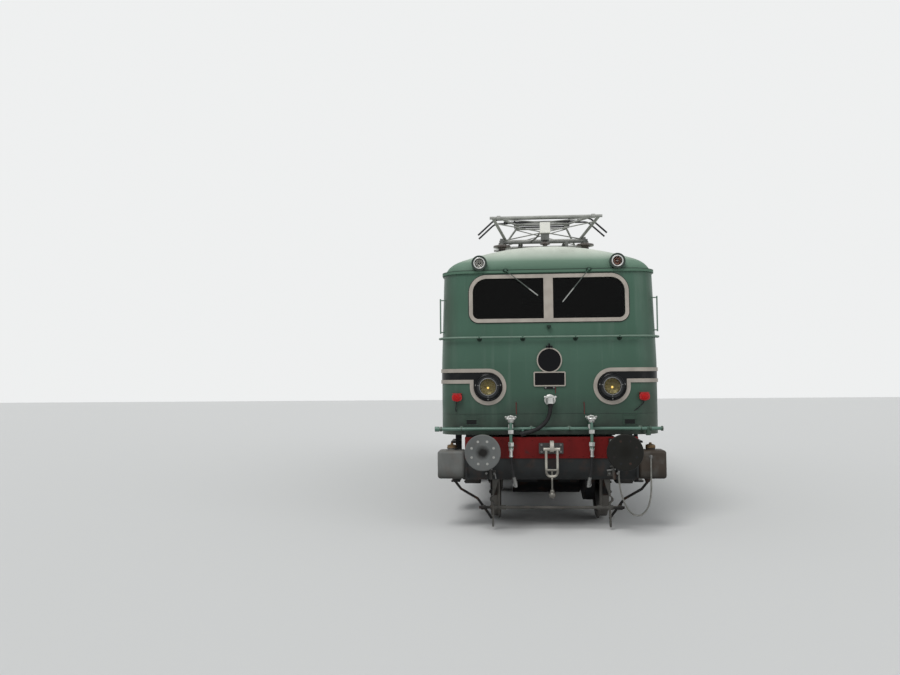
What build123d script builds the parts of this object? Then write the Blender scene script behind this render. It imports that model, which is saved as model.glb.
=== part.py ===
from build123d import *
import os
from math import cos, radians, sin, tan

os.makedirs("parts", exist_ok=True)

# Millimetres. +Y runs along the locomotive, +Z up, and +X is to the right for someone who stands in
# front of the -Y cab and looks at it. The origin is under the middle, level with the flanges' tips.

# Track and wheels
flange_depth = 28
rail_top = flange_depth
wheel_r = 625
wheel_gap = 1360
flange_w = 33
tread_w = 102
rim_depth = 70
axle_r = 88
journal_r = 65
hub_r = 150
axle_end_x = 1150
wheelbase_half = 1475
pivot_y = 3200
axle_z = rail_top + wheel_r

# Body
body_half_w = 1460
eaves_half_w = 1424
front_y = 5712
eaves_y = 5655
corner_r = 330
skirt_z = rail_top + 1230
waist_z = rail_top + 2200
eaves_z = rail_top + 3430
crown_z = rail_top + 3790
crown_r = 3780
roof_edge_r = 250
wall = 50
roof_wall = 40
panel_split_y = 5290
floor_z = rail_top + 1430
floor_t = 30
seat_gap = 0.3
door_gap = 6

# Windscreen, one frame round two panes
screen_half_w = 1066
screen_bottom = rail_top + 2730
screen_top = rail_top + 3378
screen_frame = 50
mullion = 125
screen_top_r = 240
screen_bottom_r = 130
frame_proud = 18
side_frame_proud = 8
glass_depth = 20
glass_t = 8

# Waist band and the rings that it ends in
ring_x = 820
ring_z = rail_top + 1868
ring_r = 244
moulding = 50
band_low = rail_top + 1915
moulding_proud = 14
band_proud = 4

# Doors and side openings
door_near = 3700
door_far = 4350
door_bottom = rail_top + 1475
door_top = rail_top + 3300
cab_window = (4620, 5180)
side_window_low = rail_top + 2520
side_window_high = rail_top + 3190
side_window_r = 70
side_frame = 34
grille_w = 1050
engine_window_w = 640
bay_gap = 130
bay_low = rail_top + 2560
bay_high = rail_top + 3190
bulkhead_y = 3540
bulkhead_t = 30

# Bogies
frame_x = 1010
frame_t = 90
frame_top = rail_top + 1050
headstock_y = 5850
headstock_t = 70
headstock_low = rail_top + 930
headstock_high = rail_top + 1205
headstock_half_w = 1130
buffer_face_y = 6492
buffer_x = 875
buffer_z = rail_top + 1060
buffer_r = 225
pivot_pin_r = 110

# Pantographs
panto_y = 3750
panto_base_z = rail_top + 4092
panto_pivot_y = 320
lower_arm = 1180
lower_angle = 7
upper_angle = 6
head_pin_u = 90
shaft_r = 24
knee_half_w = 785
insulator_x = 625


def finish(builder, name):
    """Labels a finished piece and writes it."""
    builder.part.label = name
    export_step(builder.part, f"parts/{name}.step")


def rod(start, end, radius, mode=Mode.ADD):
    """Adds a round bar between two points to the open part, or bores it out."""
    start = Vector(*start)
    run = Vector(*end) - start
    with BuildSketch(Plane(origin=start, z_dir=run)) as section:
        Circle(radius)
    extrude(section.sketch, amount=run.length, mode=mode)


def bent_rod(points, bend, radius):
    """Adds a round bar along straight runs joined by arcs to the open part."""
    with BuildLine() as path:
        FilletPolyline(*points, radius=bend)
    start = Vector(*points[0])
    with BuildSketch(Plane(origin=start, z_dir=Vector(*points[1]) - start)) as section:
        Circle(radius)
    sweep(section.sketch, path=path.line)


def block(x, y, z, mode=Mode.ADD):
    """Adds a rectangular block given by its low and high x, y and z to the open part."""
    with Locations(((x[0] + x[1]) / 2, (y[0] + y[1]) / 2, (z[0] + z[1]) / 2)):
        Box(x[1] - x[0], y[1] - y[0], z[1] - z[0], mode=mode)


def body_form(grow):
    """The body's outer form below the roof, grown on every side."""
    with BuildPart() as form:
        with BuildSketch(Plane.XY.offset(skirt_z)):
            RectangleRounded(2 * (body_half_w + grow), 2 * (front_y + grow), corner_r + grow)
        extrude(amount=waist_z - skirt_z)
        with BuildSketch(Plane.XY.offset(waist_z)):
            RectangleRounded(2 * (body_half_w + grow), 2 * (front_y + grow), corner_r + grow)
        with BuildSketch(Plane.XY.offset(eaves_z)):
            RectangleRounded(2 * (eaves_half_w + grow), 2 * (eaves_y + grow), corner_r + grow)
        loft(ruled=True)
    return form.part


def roof_form(grow):
    """The roof's outer form with its rounded edge, grown on every side, cut at the eaves."""
    root_z = eaves_z - 600
    with BuildPart() as form:
        with BuildSketch(Plane.XY.offset(root_z)):
            RectangleRounded(2 * (eaves_half_w + grow), 2 * (eaves_y + grow), corner_r + grow)
        extrude(amount=crown_z + 100 - root_z)
        with BuildSketch(Plane.XZ):
            with Locations((0, crown_z - crown_r)):
                Circle(crown_r + grow)
        extrude(amount=front_y + 100, both=True, mode=Mode.INTERSECT)
        fillet(form.faces().sort_by(Axis.Z)[-1].edges(), roof_edge_r + grow)
        block((-2000, 2000), (-7000, 7000), (root_z - 10, eaves_z), mode=Mode.SUBTRACT)
    return form.part


outer_form = body_form(0)
inner_form = body_form(-wall)
roof_outer = roof_form(0)
roof_inner = roof_form(-roof_wall)


def skin(proud):
    """A layer of the stated thickness on the outside of the body walls."""
    with BuildPart() as layer:
        add(body_form(proud))
        add(outer_form, mode=Mode.SUBTRACT)
    return layer.part


def pane_outlines():
    """The two windscreen openings, in the open XZ sketch."""
    for side in (-1, 1):
        low_x = mullion / 2
        high_x = screen_half_w - screen_frame
        with BuildSketch(mode=Mode.PRIVATE) as pane:
            with Locations(((low_x + high_x) / 2, (screen_bottom + screen_top) / 2)):
                Rectangle(high_x - low_x, screen_top - screen_bottom - 2 * screen_frame)
            outer = pane.vertices().group_by(Axis.X)[-1]
            fillet(outer.sort_by(Axis.Y)[-1], screen_top_r - screen_frame)
            fillet(pane.vertices().group_by(Axis.X)[-1].sort_by(Axis.Y)[0], screen_bottom_r - screen_frame)
        add(pane.sketch if side > 0 else mirror(pane.sketch, about=Plane.YZ, mode=Mode.PRIVATE))


def screen_outline():
    """The outside of the windscreen frame, in the open XZ sketch."""
    with BuildSketch(mode=Mode.PRIVATE) as outline:
        with Locations((0, (screen_bottom + screen_top) / 2)):
            Rectangle(2 * screen_half_w, screen_top - screen_bottom)
        fillet(outline.vertices().group_by(Axis.Y)[-1], screen_top_r)
        fillet(outline.vertices().group_by(Axis.Y)[0], screen_bottom_r)
    add(outline.sketch)


# Side openings along one side, each its middle and width, the same at both ends
bay_step = (grille_w + engine_window_w) / 2 + bay_gap
grille_places = [step * bay_step for step in (-3, -1, 1, 3)]
engine_window_places = [step * bay_step for step in (-2, 0, 2)]
cab_window_middle = (cab_window[0] + cab_window[1]) / 2
cab_window_w = cab_window[1] - cab_window[0]
side_height = side_window_high - side_window_low
bay_height = bay_high - bay_low
door_middle = (door_near + door_far) / 2
door_w = door_far - door_near


def side_windows(grow):
    """Cab and engine room window outlines, grown on every side, in the open YZ sketch."""
    with Locations(*[(end * cab_window_middle, (side_window_low + side_window_high) / 2) for end in (-1, 1)]):
        RectangleRounded(cab_window_w + 2 * grow, side_height + 2 * grow, side_window_r + grow)
    with Locations(*[(place, (bay_low + bay_high) / 2) for place in engine_window_places]):
        RectangleRounded(engine_window_w + 2 * grow, bay_height + 2 * grow, side_window_r + grow)


def grille_outlines():
    """The louvred openings, in the open YZ sketch."""
    with Locations(*[(place, (bay_low + bay_high) / 2) for place in grille_places]):
        Rectangle(grille_w, bay_height)


def four_corners(piece):
    """A piece at the -Y right corner and its mirror images at the other three."""
    left = mirror(piece, about=Plane.YZ, mode=Mode.PRIVATE)
    return [piece, left] + [mirror(copy, about=Plane.XZ, mode=Mode.PRIVATE) for copy in (piece, left)]


def finish_ends(builder, name):
    """Writes a piece of the -Y end and its mirror image at the other end."""
    finish(builder, f"front_{name}")
    rear = mirror(builder.part, about=Plane.XZ)
    rear.label = f"rear_{name}"
    export_step(rear, f"parts/rear_{name}.step")


def add_ends(piece):
    """Adds a piece of the -Y end and its mirror image to the open part."""
    add(piece)
    add(mirror(piece, about=Plane.XZ, mode=Mode.PRIVATE))


# Body shell

with BuildPart() as shell:
    add(outer_form)
    add(inner_form, mode=Mode.SUBTRACT)

with BuildPart() as cab_fronts:
    add(shell.part)
    block((-2000, 2000), (-panel_split_y, panel_split_y), (0, 5000), mode=Mode.SUBTRACT)
    with BuildSketch(Plane.XZ):
        pane_outlines()
    extrude(amount=front_y + 100, both=True, mode=Mode.SUBTRACT)
finish(cab_fronts, "cab_fronts")

# Cab doors turn inwards on posts just inside the wall, on the bulkhead side

hinge_x = eaves_half_w - wall - 14
hinge_y = door_near + door_gap + 16
hinge_barrel_r = 11
hinge_pin_r = 5
hinge_heights = [door_bottom + 230, door_top - 260]
barrel_half = 40

with BuildPart() as hinge_posts:
    for height in hinge_heights:
        with Locations((hinge_x, -hinge_y, height)):
            Cylinder(hinge_pin_r, 2 * barrel_half + 30)
        for middle in (height - barrel_half - 12, height + barrel_half + 12):
            span = (middle - 11, middle + 11)
            block((hinge_x - 8, hinge_x + 8), (-hinge_y - 8, -door_near + 50), span)
            block((hinge_x - 8, body_half_w - 20), (-door_near + 12, -door_near + 50), span)

with BuildPart() as side_walls:
    add(shell.part)
    for end in (-1, 1):
        ends = sorted((end * panel_split_y, end * (front_y + 100)))
        block((-2000, 2000), ends, (0, 5000), mode=Mode.SUBTRACT)
    with BuildSketch(Plane.YZ):
        side_windows(0)
        grille_outlines()
        with Locations(*[(end * door_middle, (door_bottom + door_top) / 2) for end in (-1, 1)]):
            Rectangle(door_w, door_top - door_bottom)
    extrude(amount=body_half_w + 100, both=True, mode=Mode.SUBTRACT)
    for post in four_corners(hinge_posts.part):
        add(post)
finish(side_walls, "side_walls")

# Roof with its drip moulding

drip_low = eaves_z - 28
drip_high = eaves_z + 12
drip_proud = 26

with BuildPart() as roof:
    add(roof_outer)
    with BuildSketch(Plane.XY.offset(drip_low)):
        RectangleRounded(2 * (eaves_half_w + drip_proud), 2 * (eaves_y + drip_proud), corner_r + drip_proud)
    extrude(amount=drip_high - drip_low)
    add(roof_inner, mode=Mode.SUBTRACT)
    add(outer_form, mode=Mode.SUBTRACT)
finish(roof, "roof")

# Hatches over the machine room and the ventilators on them

hatch_half_w = 860
hatch_edges = [(0, 1180), (1200, 2420)]
hatch_top = rail_top + 3880
vent_r = 165
vent_top = rail_top + 3960

with BuildPart() as hatch_set:
    for near, far in hatch_edges:
        with BuildSketch(Plane.XZ.offset(near)) as profile:
            with BuildLine():
                Polyline((-hatch_half_w - 60, 3500), (-hatch_half_w, hatch_top - 60),
                         (-hatch_half_w + 90, hatch_top - 14),
                         (0, hatch_top), (hatch_half_w - 90, hatch_top - 14), (hatch_half_w, hatch_top - 60),
                         (hatch_half_w + 60, 3500), close=True)
            make_face()
        extrude(profile.sketch, amount=far - near)
        for side in (-1, 1):
            middle = -(near + far) / 2
            rod((side * 480, middle, hatch_top - 60), (side * 480, middle, vent_top - 40), vent_r - 45)
            rod((side * 480, middle, vent_top - 45), (side * 480, middle, vent_top), vent_r)
    add(roof_outer, mode=Mode.SUBTRACT)

with BuildPart() as roof_hatches:
    add_ends(hatch_set.part)
finish(roof_hatches, "roof_hatches")

# Lamps: housings on the band's discs, on the roof's brow and by the corners

lamp_r = 178
lamp_glass_r = 116
lamp_face_y = front_y + 62
lamp_recess = 14
lamp_glass_t = 6
lamp_bowl = [(104, 14), (96, 30), (70, 46), (24, 54)]
marker_x = 923
marker_z = rail_top + 3536
marker_r = 105
marker_glass_r = 62
marker_face_y = eaves_y + 62
marker_recess = 10
marker_glass_t = 4
marker_bowl = [(54, 10), (48, 26), (30, 38), (12, 42)]
tail_x = 1236
tail_z = rail_top + 1732
tail_w = 130
tail_h = 100
tail_face_y = front_y + 62


def facing(x, y, z):
    """A plane at a place on the -Y end, facing out."""
    return Plane(origin=(x, -y, z), x_dir=(1, 0, 0), z_dir=(0, -1, 0))


def hollow_bowl(x, face_y, z, outline):
    """Turns a reflector bowl out of a lamp, from radii and depths behind its face."""
    with BuildSketch(Plane(origin=(x, -face_y, z), x_dir=(1, 0, 0), z_dir=(0, 0, 1))) as bowl:
        with BuildLine():
            Polyline((0, outline[0][1]), *outline, (0, outline[-1][1]), close=True)
        make_face()
    revolve(bowl.sketch, axis=Axis((x, -face_y, z), (0, 1, 0)), mode=Mode.SUBTRACT)


with BuildPart() as headlamp_pair:
    for side in (-1, 1):
        with BuildSketch(facing(side * ring_x, front_y + band_proud, ring_z)):
            Circle(lamp_r)
        extrude(amount=lamp_face_y - front_y - band_proud)
        fillet(headlamp_pair.faces(Select.LAST).sort_by(Axis.Y)[0].edges(), 30)
        with BuildSketch(facing(side * ring_x, lamp_face_y - lamp_recess, ring_z)):
            Circle(lamp_glass_r + seat_gap)
        extrude(amount=lamp_recess + 10, mode=Mode.SUBTRACT)
        hollow_bowl(side * ring_x, lamp_face_y, ring_z, lamp_bowl)

with BuildPart() as marker_set:
    for side in (-1, 1):
        with BuildSketch(facing(side * marker_x, eaves_y - 250, marker_z)):
            Circle(marker_r)
        extrude(amount=marker_face_y - eaves_y + 250)
        with BuildSketch(facing(side * marker_x, marker_face_y - marker_recess, marker_z)):
            Circle(marker_glass_r + seat_gap)
        extrude(amount=marker_recess + 10, mode=Mode.SUBTRACT)
        hollow_bowl(side * marker_x, marker_face_y, marker_z, marker_bowl)
        with BuildSketch(facing(side * tail_x, front_y - 250, tail_z)):
            RectangleRounded(tail_w, tail_h, 40)
        extrude(amount=tail_face_y - front_y + 250)
    add(roof_outer, mode=Mode.SUBTRACT)
    add(roof.part, mode=Mode.SUBTRACT)
    add(outer_form, mode=Mode.SUBTRACT)

with BuildPart() as lamps:
    add_ends(headlamp_pair.part)
    add_ends(marker_set.part)
finish(lamps, "lamps")

# Glass

with BuildPart() as lenses:
    for side in (-1, 1):
        with BuildSketch(facing(side * ring_x, lamp_face_y - lamp_recess, ring_z)):
            Circle(lamp_glass_r)
        extrude(amount=lamp_glass_t)
        with BuildSketch(facing(side * marker_x, marker_face_y - marker_recess, marker_z)):
            Circle(marker_glass_r)
        extrude(amount=marker_glass_t)

with BuildPart() as glazing:
    add(body_form(-glass_depth))
    add(body_form(-glass_depth - glass_t), mode=Mode.SUBTRACT)
    with BuildPart(mode=Mode.INTERSECT):
        for end in (-1, 1):
            with BuildSketch(Plane.XZ.offset(end * panel_split_y)):
                pane_outlines()
            extrude(amount=end * 600)
        for side in (-1, 1):
            with BuildSketch(Plane.YZ.offset(side * (eaves_half_w - 150))):
                side_windows(0)
            extrude(amount=side * 300)
    add_ends(lenses.part)
finish(glazing, "glazing")

# Bright window frames and mouldings, and the dark band between them

band_high = ring_z + ring_r
cab_end_y = front_y - corner_r + 30


def band_outline(inset):
    """The ring and band on a cab front, inset on every side, in the open XZ sketch."""
    top = band_high - inset
    far = body_half_w + 200
    square = ring_x + ring_r - inset
    for side in (-1, 1):
        with Locations((side * ring_x, ring_z)):
            Circle(ring_r - inset)
        with Locations((side * (ring_x + square) / 2, (ring_z + top) / 2)):
            Rectangle(square - ring_x, top - ring_z)
        with Locations((side * (ring_x + far) / 2, (band_low + inset + top) / 2)):
            Rectangle(far - ring_x, top - band_low - inset)


def band_zone(inset):
    """The space that the band and its rings take all round the body."""
    with BuildPart() as zone:
        for end in (-1, 1):
            with BuildSketch(Plane.XZ.offset(end * cab_end_y)):
                band_outline(inset)
            extrude(amount=end * 500)
        for side in (-1, 1):
            x_span = sorted((side * (body_half_w - 60), side * (body_half_w + 60)))
            block(x_span, (-cab_end_y, cab_end_y), (band_low + inset, band_high - inset))
    return zone.part


def door_spaces(margin):
    """The doorways' space, grown on every side."""
    with BuildPart() as space:
        with BuildSketch(Plane.YZ):
            with Locations(*[(end * door_middle, (door_bottom + door_top) / 2) for end in (-1, 1)]):
                Rectangle(door_w + 2 * margin, door_top - door_bottom + 2 * margin)
        extrude(amount=body_half_w + 100, both=True)
    return space.part


with BuildPart() as mouldings:
    add(skin(moulding_proud))
    with BuildPart(mode=Mode.INTERSECT):
        add(band_zone(0))
        add(band_zone(moulding), mode=Mode.SUBTRACT)

with BuildPart() as band_strips:
    add(skin(band_proud))
    add(band_zone(moulding), mode=Mode.INTERSECT)

with BuildPart() as screen_frames:
    add(skin(frame_proud))
    with BuildPart(mode=Mode.INTERSECT):
        with BuildSketch(Plane.XZ):
            screen_outline()
        extrude(amount=front_y + 100, both=True)
        with BuildSketch(Plane.XZ):
            pane_outlines()
        extrude(amount=front_y + 100, both=True, mode=Mode.SUBTRACT)
    block((-2000, 2000), (-panel_split_y, panel_split_y), (0, 5000), mode=Mode.SUBTRACT)

with BuildPart() as side_frames:
    add(skin(side_frame_proud))
    with BuildPart(mode=Mode.INTERSECT):
        with BuildSketch(Plane.YZ):
            side_windows(side_frame)
        extrude(amount=body_half_w + 100, both=True)
        with BuildSketch(Plane.YZ):
            side_windows(0)
        extrude(amount=body_half_w + 100, both=True, mode=Mode.SUBTRACT)

with BuildPart() as bright_trim:
    add(mouldings.part)
    add(door_spaces(0), mode=Mode.SUBTRACT)
    add(screen_frames.part)
    add(side_frames.part)
finish(bright_trim, "bright_trim")

with BuildPart() as waist_band:
    add(band_strips.part)
    add(door_spaces(0), mode=Mode.SUBTRACT)
finish(waist_band, "waist_band")

# Doors

door_window_w = 400
door_window_low = rail_top + 2560
door_window_high = rail_top + 3130
handle_z = rail_top + 2380

with BuildPart() as door:
    add(shell.part)
    add(mouldings.part)
    add(band_strips.part)
    block((body_half_w - 200, body_half_w + 100), (-door_far + door_gap, -door_near - door_gap),
          (door_bottom + door_gap, door_top - door_gap), mode=Mode.INTERSECT)
    with BuildSketch(Plane.YZ):
        with Locations((-door_middle, (door_window_low + door_window_high) / 2)):
            RectangleRounded(door_window_w, door_window_high - door_window_low, side_window_r)
    extrude(amount=body_half_w + 100, mode=Mode.SUBTRACT)
    for height in hinge_heights:
        span = (height - barrel_half, height + barrel_half)
        with Locations((hinge_x, -hinge_y, height)):
            Cylinder(hinge_barrel_r, 2 * barrel_half)
        block((hinge_x - 5, body_half_w - wall + 10), (-hinge_y - 60, -hinge_y - 3), span)
        with Locations((hinge_x, -hinge_y, height)):
            Cylinder(hinge_pin_r + seat_gap, 2 * barrel_half + 2, mode=Mode.SUBTRACT)
    rod((body_half_w - 30, -door_far + 90, handle_z), (body_half_w + 38, -door_far + 90, handle_z), 10)
    rod((body_half_w + 26, -door_far + 70, handle_z), (body_half_w + 26, -door_far + 200, handle_z), 7)

for name, leaf in zip(("front_right", "front_left", "rear_right", "rear_left"), four_corners(door.part)):
    leaf.label = f"door_{name}"
    export_step(leaf, f"parts/door_{name}.step")

# Side grilles: a frame and sloping slats in each opening

slat_count = 9
slat_t = 6
slat_depth = 44
slat_rise = 30
grille_frame = 36

with BuildPart() as grille_layer:
    add(body_form(6))
    add(body_form(-slat_depth), mode=Mode.SUBTRACT)

with BuildPart() as side_louvres:
    with BuildPart():
        with BuildSketch(Plane.YZ):
            grille_outlines()
            with Locations(*[(place, (bay_low + bay_high) / 2) for place in grille_places]):
                Rectangle(grille_w - 2 * grille_frame, bay_height - 2 * grille_frame, mode=Mode.SUBTRACT)
        extrude(amount=body_half_w + 100, both=True)
        pitch = (bay_height - 2 * grille_frame) / slat_count
        for side in (-1, 1):
            for row in range(slat_count):
                z = bay_low + grille_frame + (row + 0.3) * pitch
                near = side * (eaves_half_w - 60)
                far = side * (body_half_w + 10)
                for place in grille_places:
                    with BuildSketch(Plane.XZ.offset(-(place + grille_w / 2 - 1))) as slat:
                        with BuildLine():
                            Polyline((near, z + slat_rise), (far, z), (far, z + slat_t),
                                     (near, z + slat_rise + slat_t), close=True)
                        make_face()
                    extrude(slat.sketch, amount=grille_w - 2)
    add(grille_layer.part, mode=Mode.INTERSECT)
finish(side_louvres, "side_louvres")

# Wipers on spindles at the brow, each an arm and a blade lying along the glass

# Each: spindle x, blade tip x and tip z
wipers_table = [(-570, -140, rail_top + 3090), (545, 190, rail_top + 3000)]
wiper_z = rail_top + 3432
blade_l = 380
blade_w = 14
lean = (front_y - eaves_y) / (eaves_z - waist_z)


def wall_y(z):
    """How far out the cab front stands at a height."""
    return front_y - lean * max(0, z - waist_z)


with BuildPart() as wiper_pair:
    for spindle_x, tip_x, tip_z in wipers_table:
        run = Vector(tip_x - spindle_x, 0, tip_z - wiper_z)
        middle = Vector(spindle_x, 0, wiper_z) + run * (1 - blade_l / 2 / run.length)
        spindle_y = wall_y(wiper_z) + drip_proud
        rod((spindle_x, -spindle_y + 60, wiper_z), (spindle_x, -spindle_y - 44, wiper_z), 15)
        arm_y = spindle_y + 34
        glass_y = wall_y(middle.Z) - glass_depth
        rod((spindle_x, -arm_y, wiper_z), (middle.X, -glass_y - 44, middle.Z), 6)
        blade_plane = Plane(origin=(middle.X, -glass_y - 50, middle.Z), x_dir=run.normalized(),
                            z_dir=Vector(0, 1, 0))
        with BuildSketch(blade_plane) as blade:
            Rectangle(blade_l, blade_w)
        extrude(blade.sketch, amount=60)
    add(body_form(-glass_depth + seat_gap), mode=Mode.SUBTRACT)
    add(screen_frames.part, mode=Mode.SUBTRACT)
    add(cab_fronts.part, mode=Mode.SUBTRACT)
    add(roof_outer, mode=Mode.SUBTRACT)
    add(roof.part, mode=Mode.SUBTRACT)

with BuildPart() as wipers:
    add_ends(wiper_pair.part)
finish(wipers, "wipers")

# Handrails

rail_z = rail_top + 2530
rail_r = 13
rail_stand = 30
rail_end_y = front_y - 400
rail_brackets = [-930, -350, 350, 930]
post_x = body_half_w + 32
post_low = rail_top + 1300
post_high = rail_top + 2900
post_places = [door_near - 90, door_far + 90]
grab_low = rail_top + 2600
grab_high = rail_top + 3080
grab_y = front_y - 250

with BuildPart() as handrail_set:
    reach = body_half_w + rail_stand
    out = front_y + rail_stand + 10
    bent_rod([(-reach, -rail_end_y, rail_z), (-reach, -out, rail_z), (reach, -out, rail_z),
              (reach, -rail_end_y, rail_z)], corner_r + rail_stand, rail_r)
    for x in rail_brackets:
        rod((x, -front_y + 60, rail_z), (x, -out, rail_z), 10)
    for side in (-1, 1):
        rod((side * (body_half_w - 60), -rail_end_y - 20, rail_z),
            (side * reach, -rail_end_y - 20, rail_z), 10)
        for y in post_places:
            rod((side * post_x, -y, post_low), (side * post_x, -y, post_high), rail_r)
            for z in (post_low + 30, post_high - 30):
                rod((side * (body_half_w - 70), -y, z), (side * post_x, -y, z), 10)
        rod((side * (post_x - 20), -grab_y, grab_low), (side * (post_x - 20), -grab_y, grab_high), 10)
        for z in (grab_low + 20, grab_high - 20):
            rod((side * (body_half_w - 90), -grab_y, z), (side * (post_x - 20), -grab_y, z), 8)
    add(outer_form, mode=Mode.SUBTRACT)
    add(mouldings.part, mode=Mode.SUBTRACT)

with BuildPart() as handrails:
    add_ends(handrail_set.part)
finish(handrails, "handrails")

# Pipe across each cab front with the brake cocks

pipe_z = rail_top + 1312
pipe_y = front_y + 72
pipe_r = 23
pipe_half_w = 1462
pipe_left_reach = 1532
union_r = 34
cock_x = 523
cock_z = rail_top + 1432
hose_y = front_y + 225
hose_top_z = rail_top + 1060
plug_z = rail_top + 1690

# Routes on the -Y end as x, distance out from the middle and z, from the fitting to the free or held end
hose_r = 19
hose_route = [(cock_x, hose_y, hose_top_z), (cock_x, hose_y, hose_top_z - 105),
              (cock_x - 8, hose_y + 4, hose_top_z - 215), (cock_x - 24, hose_y + 14, hose_top_z - 320),
              (cock_x - 46, hose_y + 28, hose_top_z - 415)]
jumper_r = 27
jumper_out = front_y + 134
jumper_route = [(0, jumper_out, plug_z - 42), (0, jumper_out, plug_z - 142),
                (-36, jumper_out + 3, plug_z - 250), (-110, jumper_out + 6, plug_z - 338),
                (-213, jumper_out + 6, plug_z - 398), (-326, jumper_out + 4, plug_z - 428)]


def along(start, end, share):
    """A point part of the way from one point to another, or past it."""
    return tuple(a + (b - a) * share for a, b in zip(start, end))


def on_end(point):
    """A point of a route as a place on the -Y end."""
    x, y, z = point
    return (x, -y, z)


with BuildPart() as pipe_set:
    rod((-pipe_left_reach, -pipe_y, pipe_z), (pipe_half_w, -pipe_y, pipe_z), pipe_r)
    rod((-pipe_left_reach, -pipe_y, pipe_z), (-pipe_left_reach + 60, -pipe_y, pipe_z), union_r)
    for x in (-1180, -250, 250, 1180):
        rod((x, -front_y, pipe_z), (x, -pipe_y, pipe_z), 14)
    for side in (-1, 1):
        x = side * cock_x
        rod((x, -front_y, cock_z), (x, -hose_y - 8, cock_z), union_r)
        rod((x, -pipe_y, pipe_z), (x, -pipe_y, cock_z), 26)
        rod((x - 62, -hose_y + 40, cock_z + 12), (x + 62, -hose_y + 40, cock_z + 12), 17)
        rod((x, -hose_y, cock_z), (x, -hose_y, hose_top_z), 20)
        rod((x, -hose_y, hose_top_z + 90), (x, -hose_y, hose_top_z + 30), union_r)
        rod((x, -hose_y, hose_top_z + 20), (x, -hose_y, hose_top_z), 30)
    rod((0, -front_y, plug_z), (0, -jumper_out, plug_z), 38)
    rod((0, -jumper_out, plug_z - 42), (0, -jumper_out, plug_z + 40), 44)
    last_run = [on_end(point) for point in jumper_route[-2:]]
    holder = along(*last_run, 1.35)
    rod((holder[0], -pipe_y, pipe_z), holder, 15)
    rod(last_run[1], along(*last_run, 1.6), jumper_r + 6)
    add(outer_form, mode=Mode.SUBTRACT)

with BuildPart() as end_pipes:
    add_ends(pipe_set.part)
finish(end_pipes, "end_pipes")

# Blank plaque: a plain disc over a bare plate, both with a raised rim

plate_w = 424
plate_h = 196
plate_z = rail_top + 1968
disc_r = 168
disc_z = rail_top + 2218
plaque_proud = 20
rim = 16

with BuildPart() as plaque:
    with BuildSketch(facing(0, front_y - 60, plate_z)):
        RectangleRounded(plate_w, plate_h, 18)
        with Locations((0, disc_z - plate_z)):
            Circle(disc_r)
    extrude(amount=60 + plaque_proud)
    with BuildSketch(facing(0, front_y + plaque_proud - 6, plate_z)):
        RectangleRounded(plate_w - 2 * rim, plate_h - 2 * rim, 8)
        with Locations((0, disc_z - plate_z)):
            Circle(disc_r - rim)
    extrude(amount=10, mode=Mode.SUBTRACT)
    add(outer_form, mode=Mode.SUBTRACT)

with BuildPart() as plaques:
    add_ends(plaque.part)
finish(plaques, "blank_plaques")

# Cab interior

desk_deep = 560
desk_top = rail_top + 2440
bulkhead_door_w = 640
bulkhead_door_top = rail_top + 3250
seat_x = 620
seat_y = 4720
seat_w = 460
seat_d = 440
seat_z = floor_z + 430
cushion_t = 110
back_t = 100
back_h = 560

with BuildPart() as desk:
    with BuildSketch(Plane.YZ.offset(-1300)):
        with BuildLine():
            face = -front_y
            edge = -(front_y - wall - desk_deep)
            Polyline((face, floor_z), (edge - 160, floor_z), (edge - 160, desk_top - 260),
                     (edge, desk_top - 220), (edge, desk_top - 150), (edge - 180, desk_top),
                     (face, desk_top), close=True)
        make_face()
    extrude(amount=2600)
    add(inner_form, mode=Mode.INTERSECT)

with BuildPart() as seat_pair:
    for side in (-1, 1):
        with Locations((side * seat_x, -seat_y, floor_z + 15)):
            Box(300, 300, 30)
        rod((side * seat_x, -seat_y, floor_z), (side * seat_x, -seat_y, seat_z), 45)
        with Locations((side * seat_x, -seat_y, seat_z + cushion_t / 2)):
            Box(seat_w, seat_d, cushion_t)
        back_y = -seat_y + seat_d / 2 + back_t / 2 - 20
        with Locations((side * seat_x, back_y, seat_z + cushion_t + back_h / 2)):
            Box(seat_w - 40, back_t, back_h)
        block((side * seat_x - 60, side * seat_x + 60),
              (-seat_y + seat_d / 2 - 20, -seat_y + seat_d / 2 + 30),
              (seat_z + 20, seat_z + cushion_t + 60))

with BuildPart() as cab_seats:
    add_ends(seat_pair.part)
finish(cab_seats, "cab_seats")

with BuildPart() as bulkhead:
    with BuildPart():
        add(inner_form)
        add(roof_inner)
    block((-2000, 2000), (-bulkhead_y, -bulkhead_y + bulkhead_t), (floor_z, crown_z), mode=Mode.INTERSECT)
    block((-bulkhead_door_w / 2, bulkhead_door_w / 2), (-bulkhead_y - 10, -bulkhead_y + bulkhead_t + 10),
          (floor_z, bulkhead_door_top), mode=Mode.SUBTRACT)

with BuildPart() as cab_fittings:
    add_ends(desk.part)
    add_ends(bulkhead.part)
finish(cab_fittings, "cab_fittings")

machine_half_w = 720
machine_half_l = 3150
machine_top = rail_top + 3180

with BuildPart() as machine_block:
    block((-machine_half_w, machine_half_w), (-machine_half_l, machine_half_l), (floor_z, machine_top))
finish(machine_block, "machine_block")

# Underframe: floor, sills, cross members, bolsters with their pivot pins, and the steps

sill_w = 80
bolster_low = frame_top + 110
bolster_half = 210
pin_low = rail_top + 760
step_x = (1296, 1426)
step_y = (3740, 4310)
step_heights = [rail_top + 430, rail_top + 720, rail_top + 1010]
step_t = 26
cross_members = [0, 1000, 2100, 4250, 5300]

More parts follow.
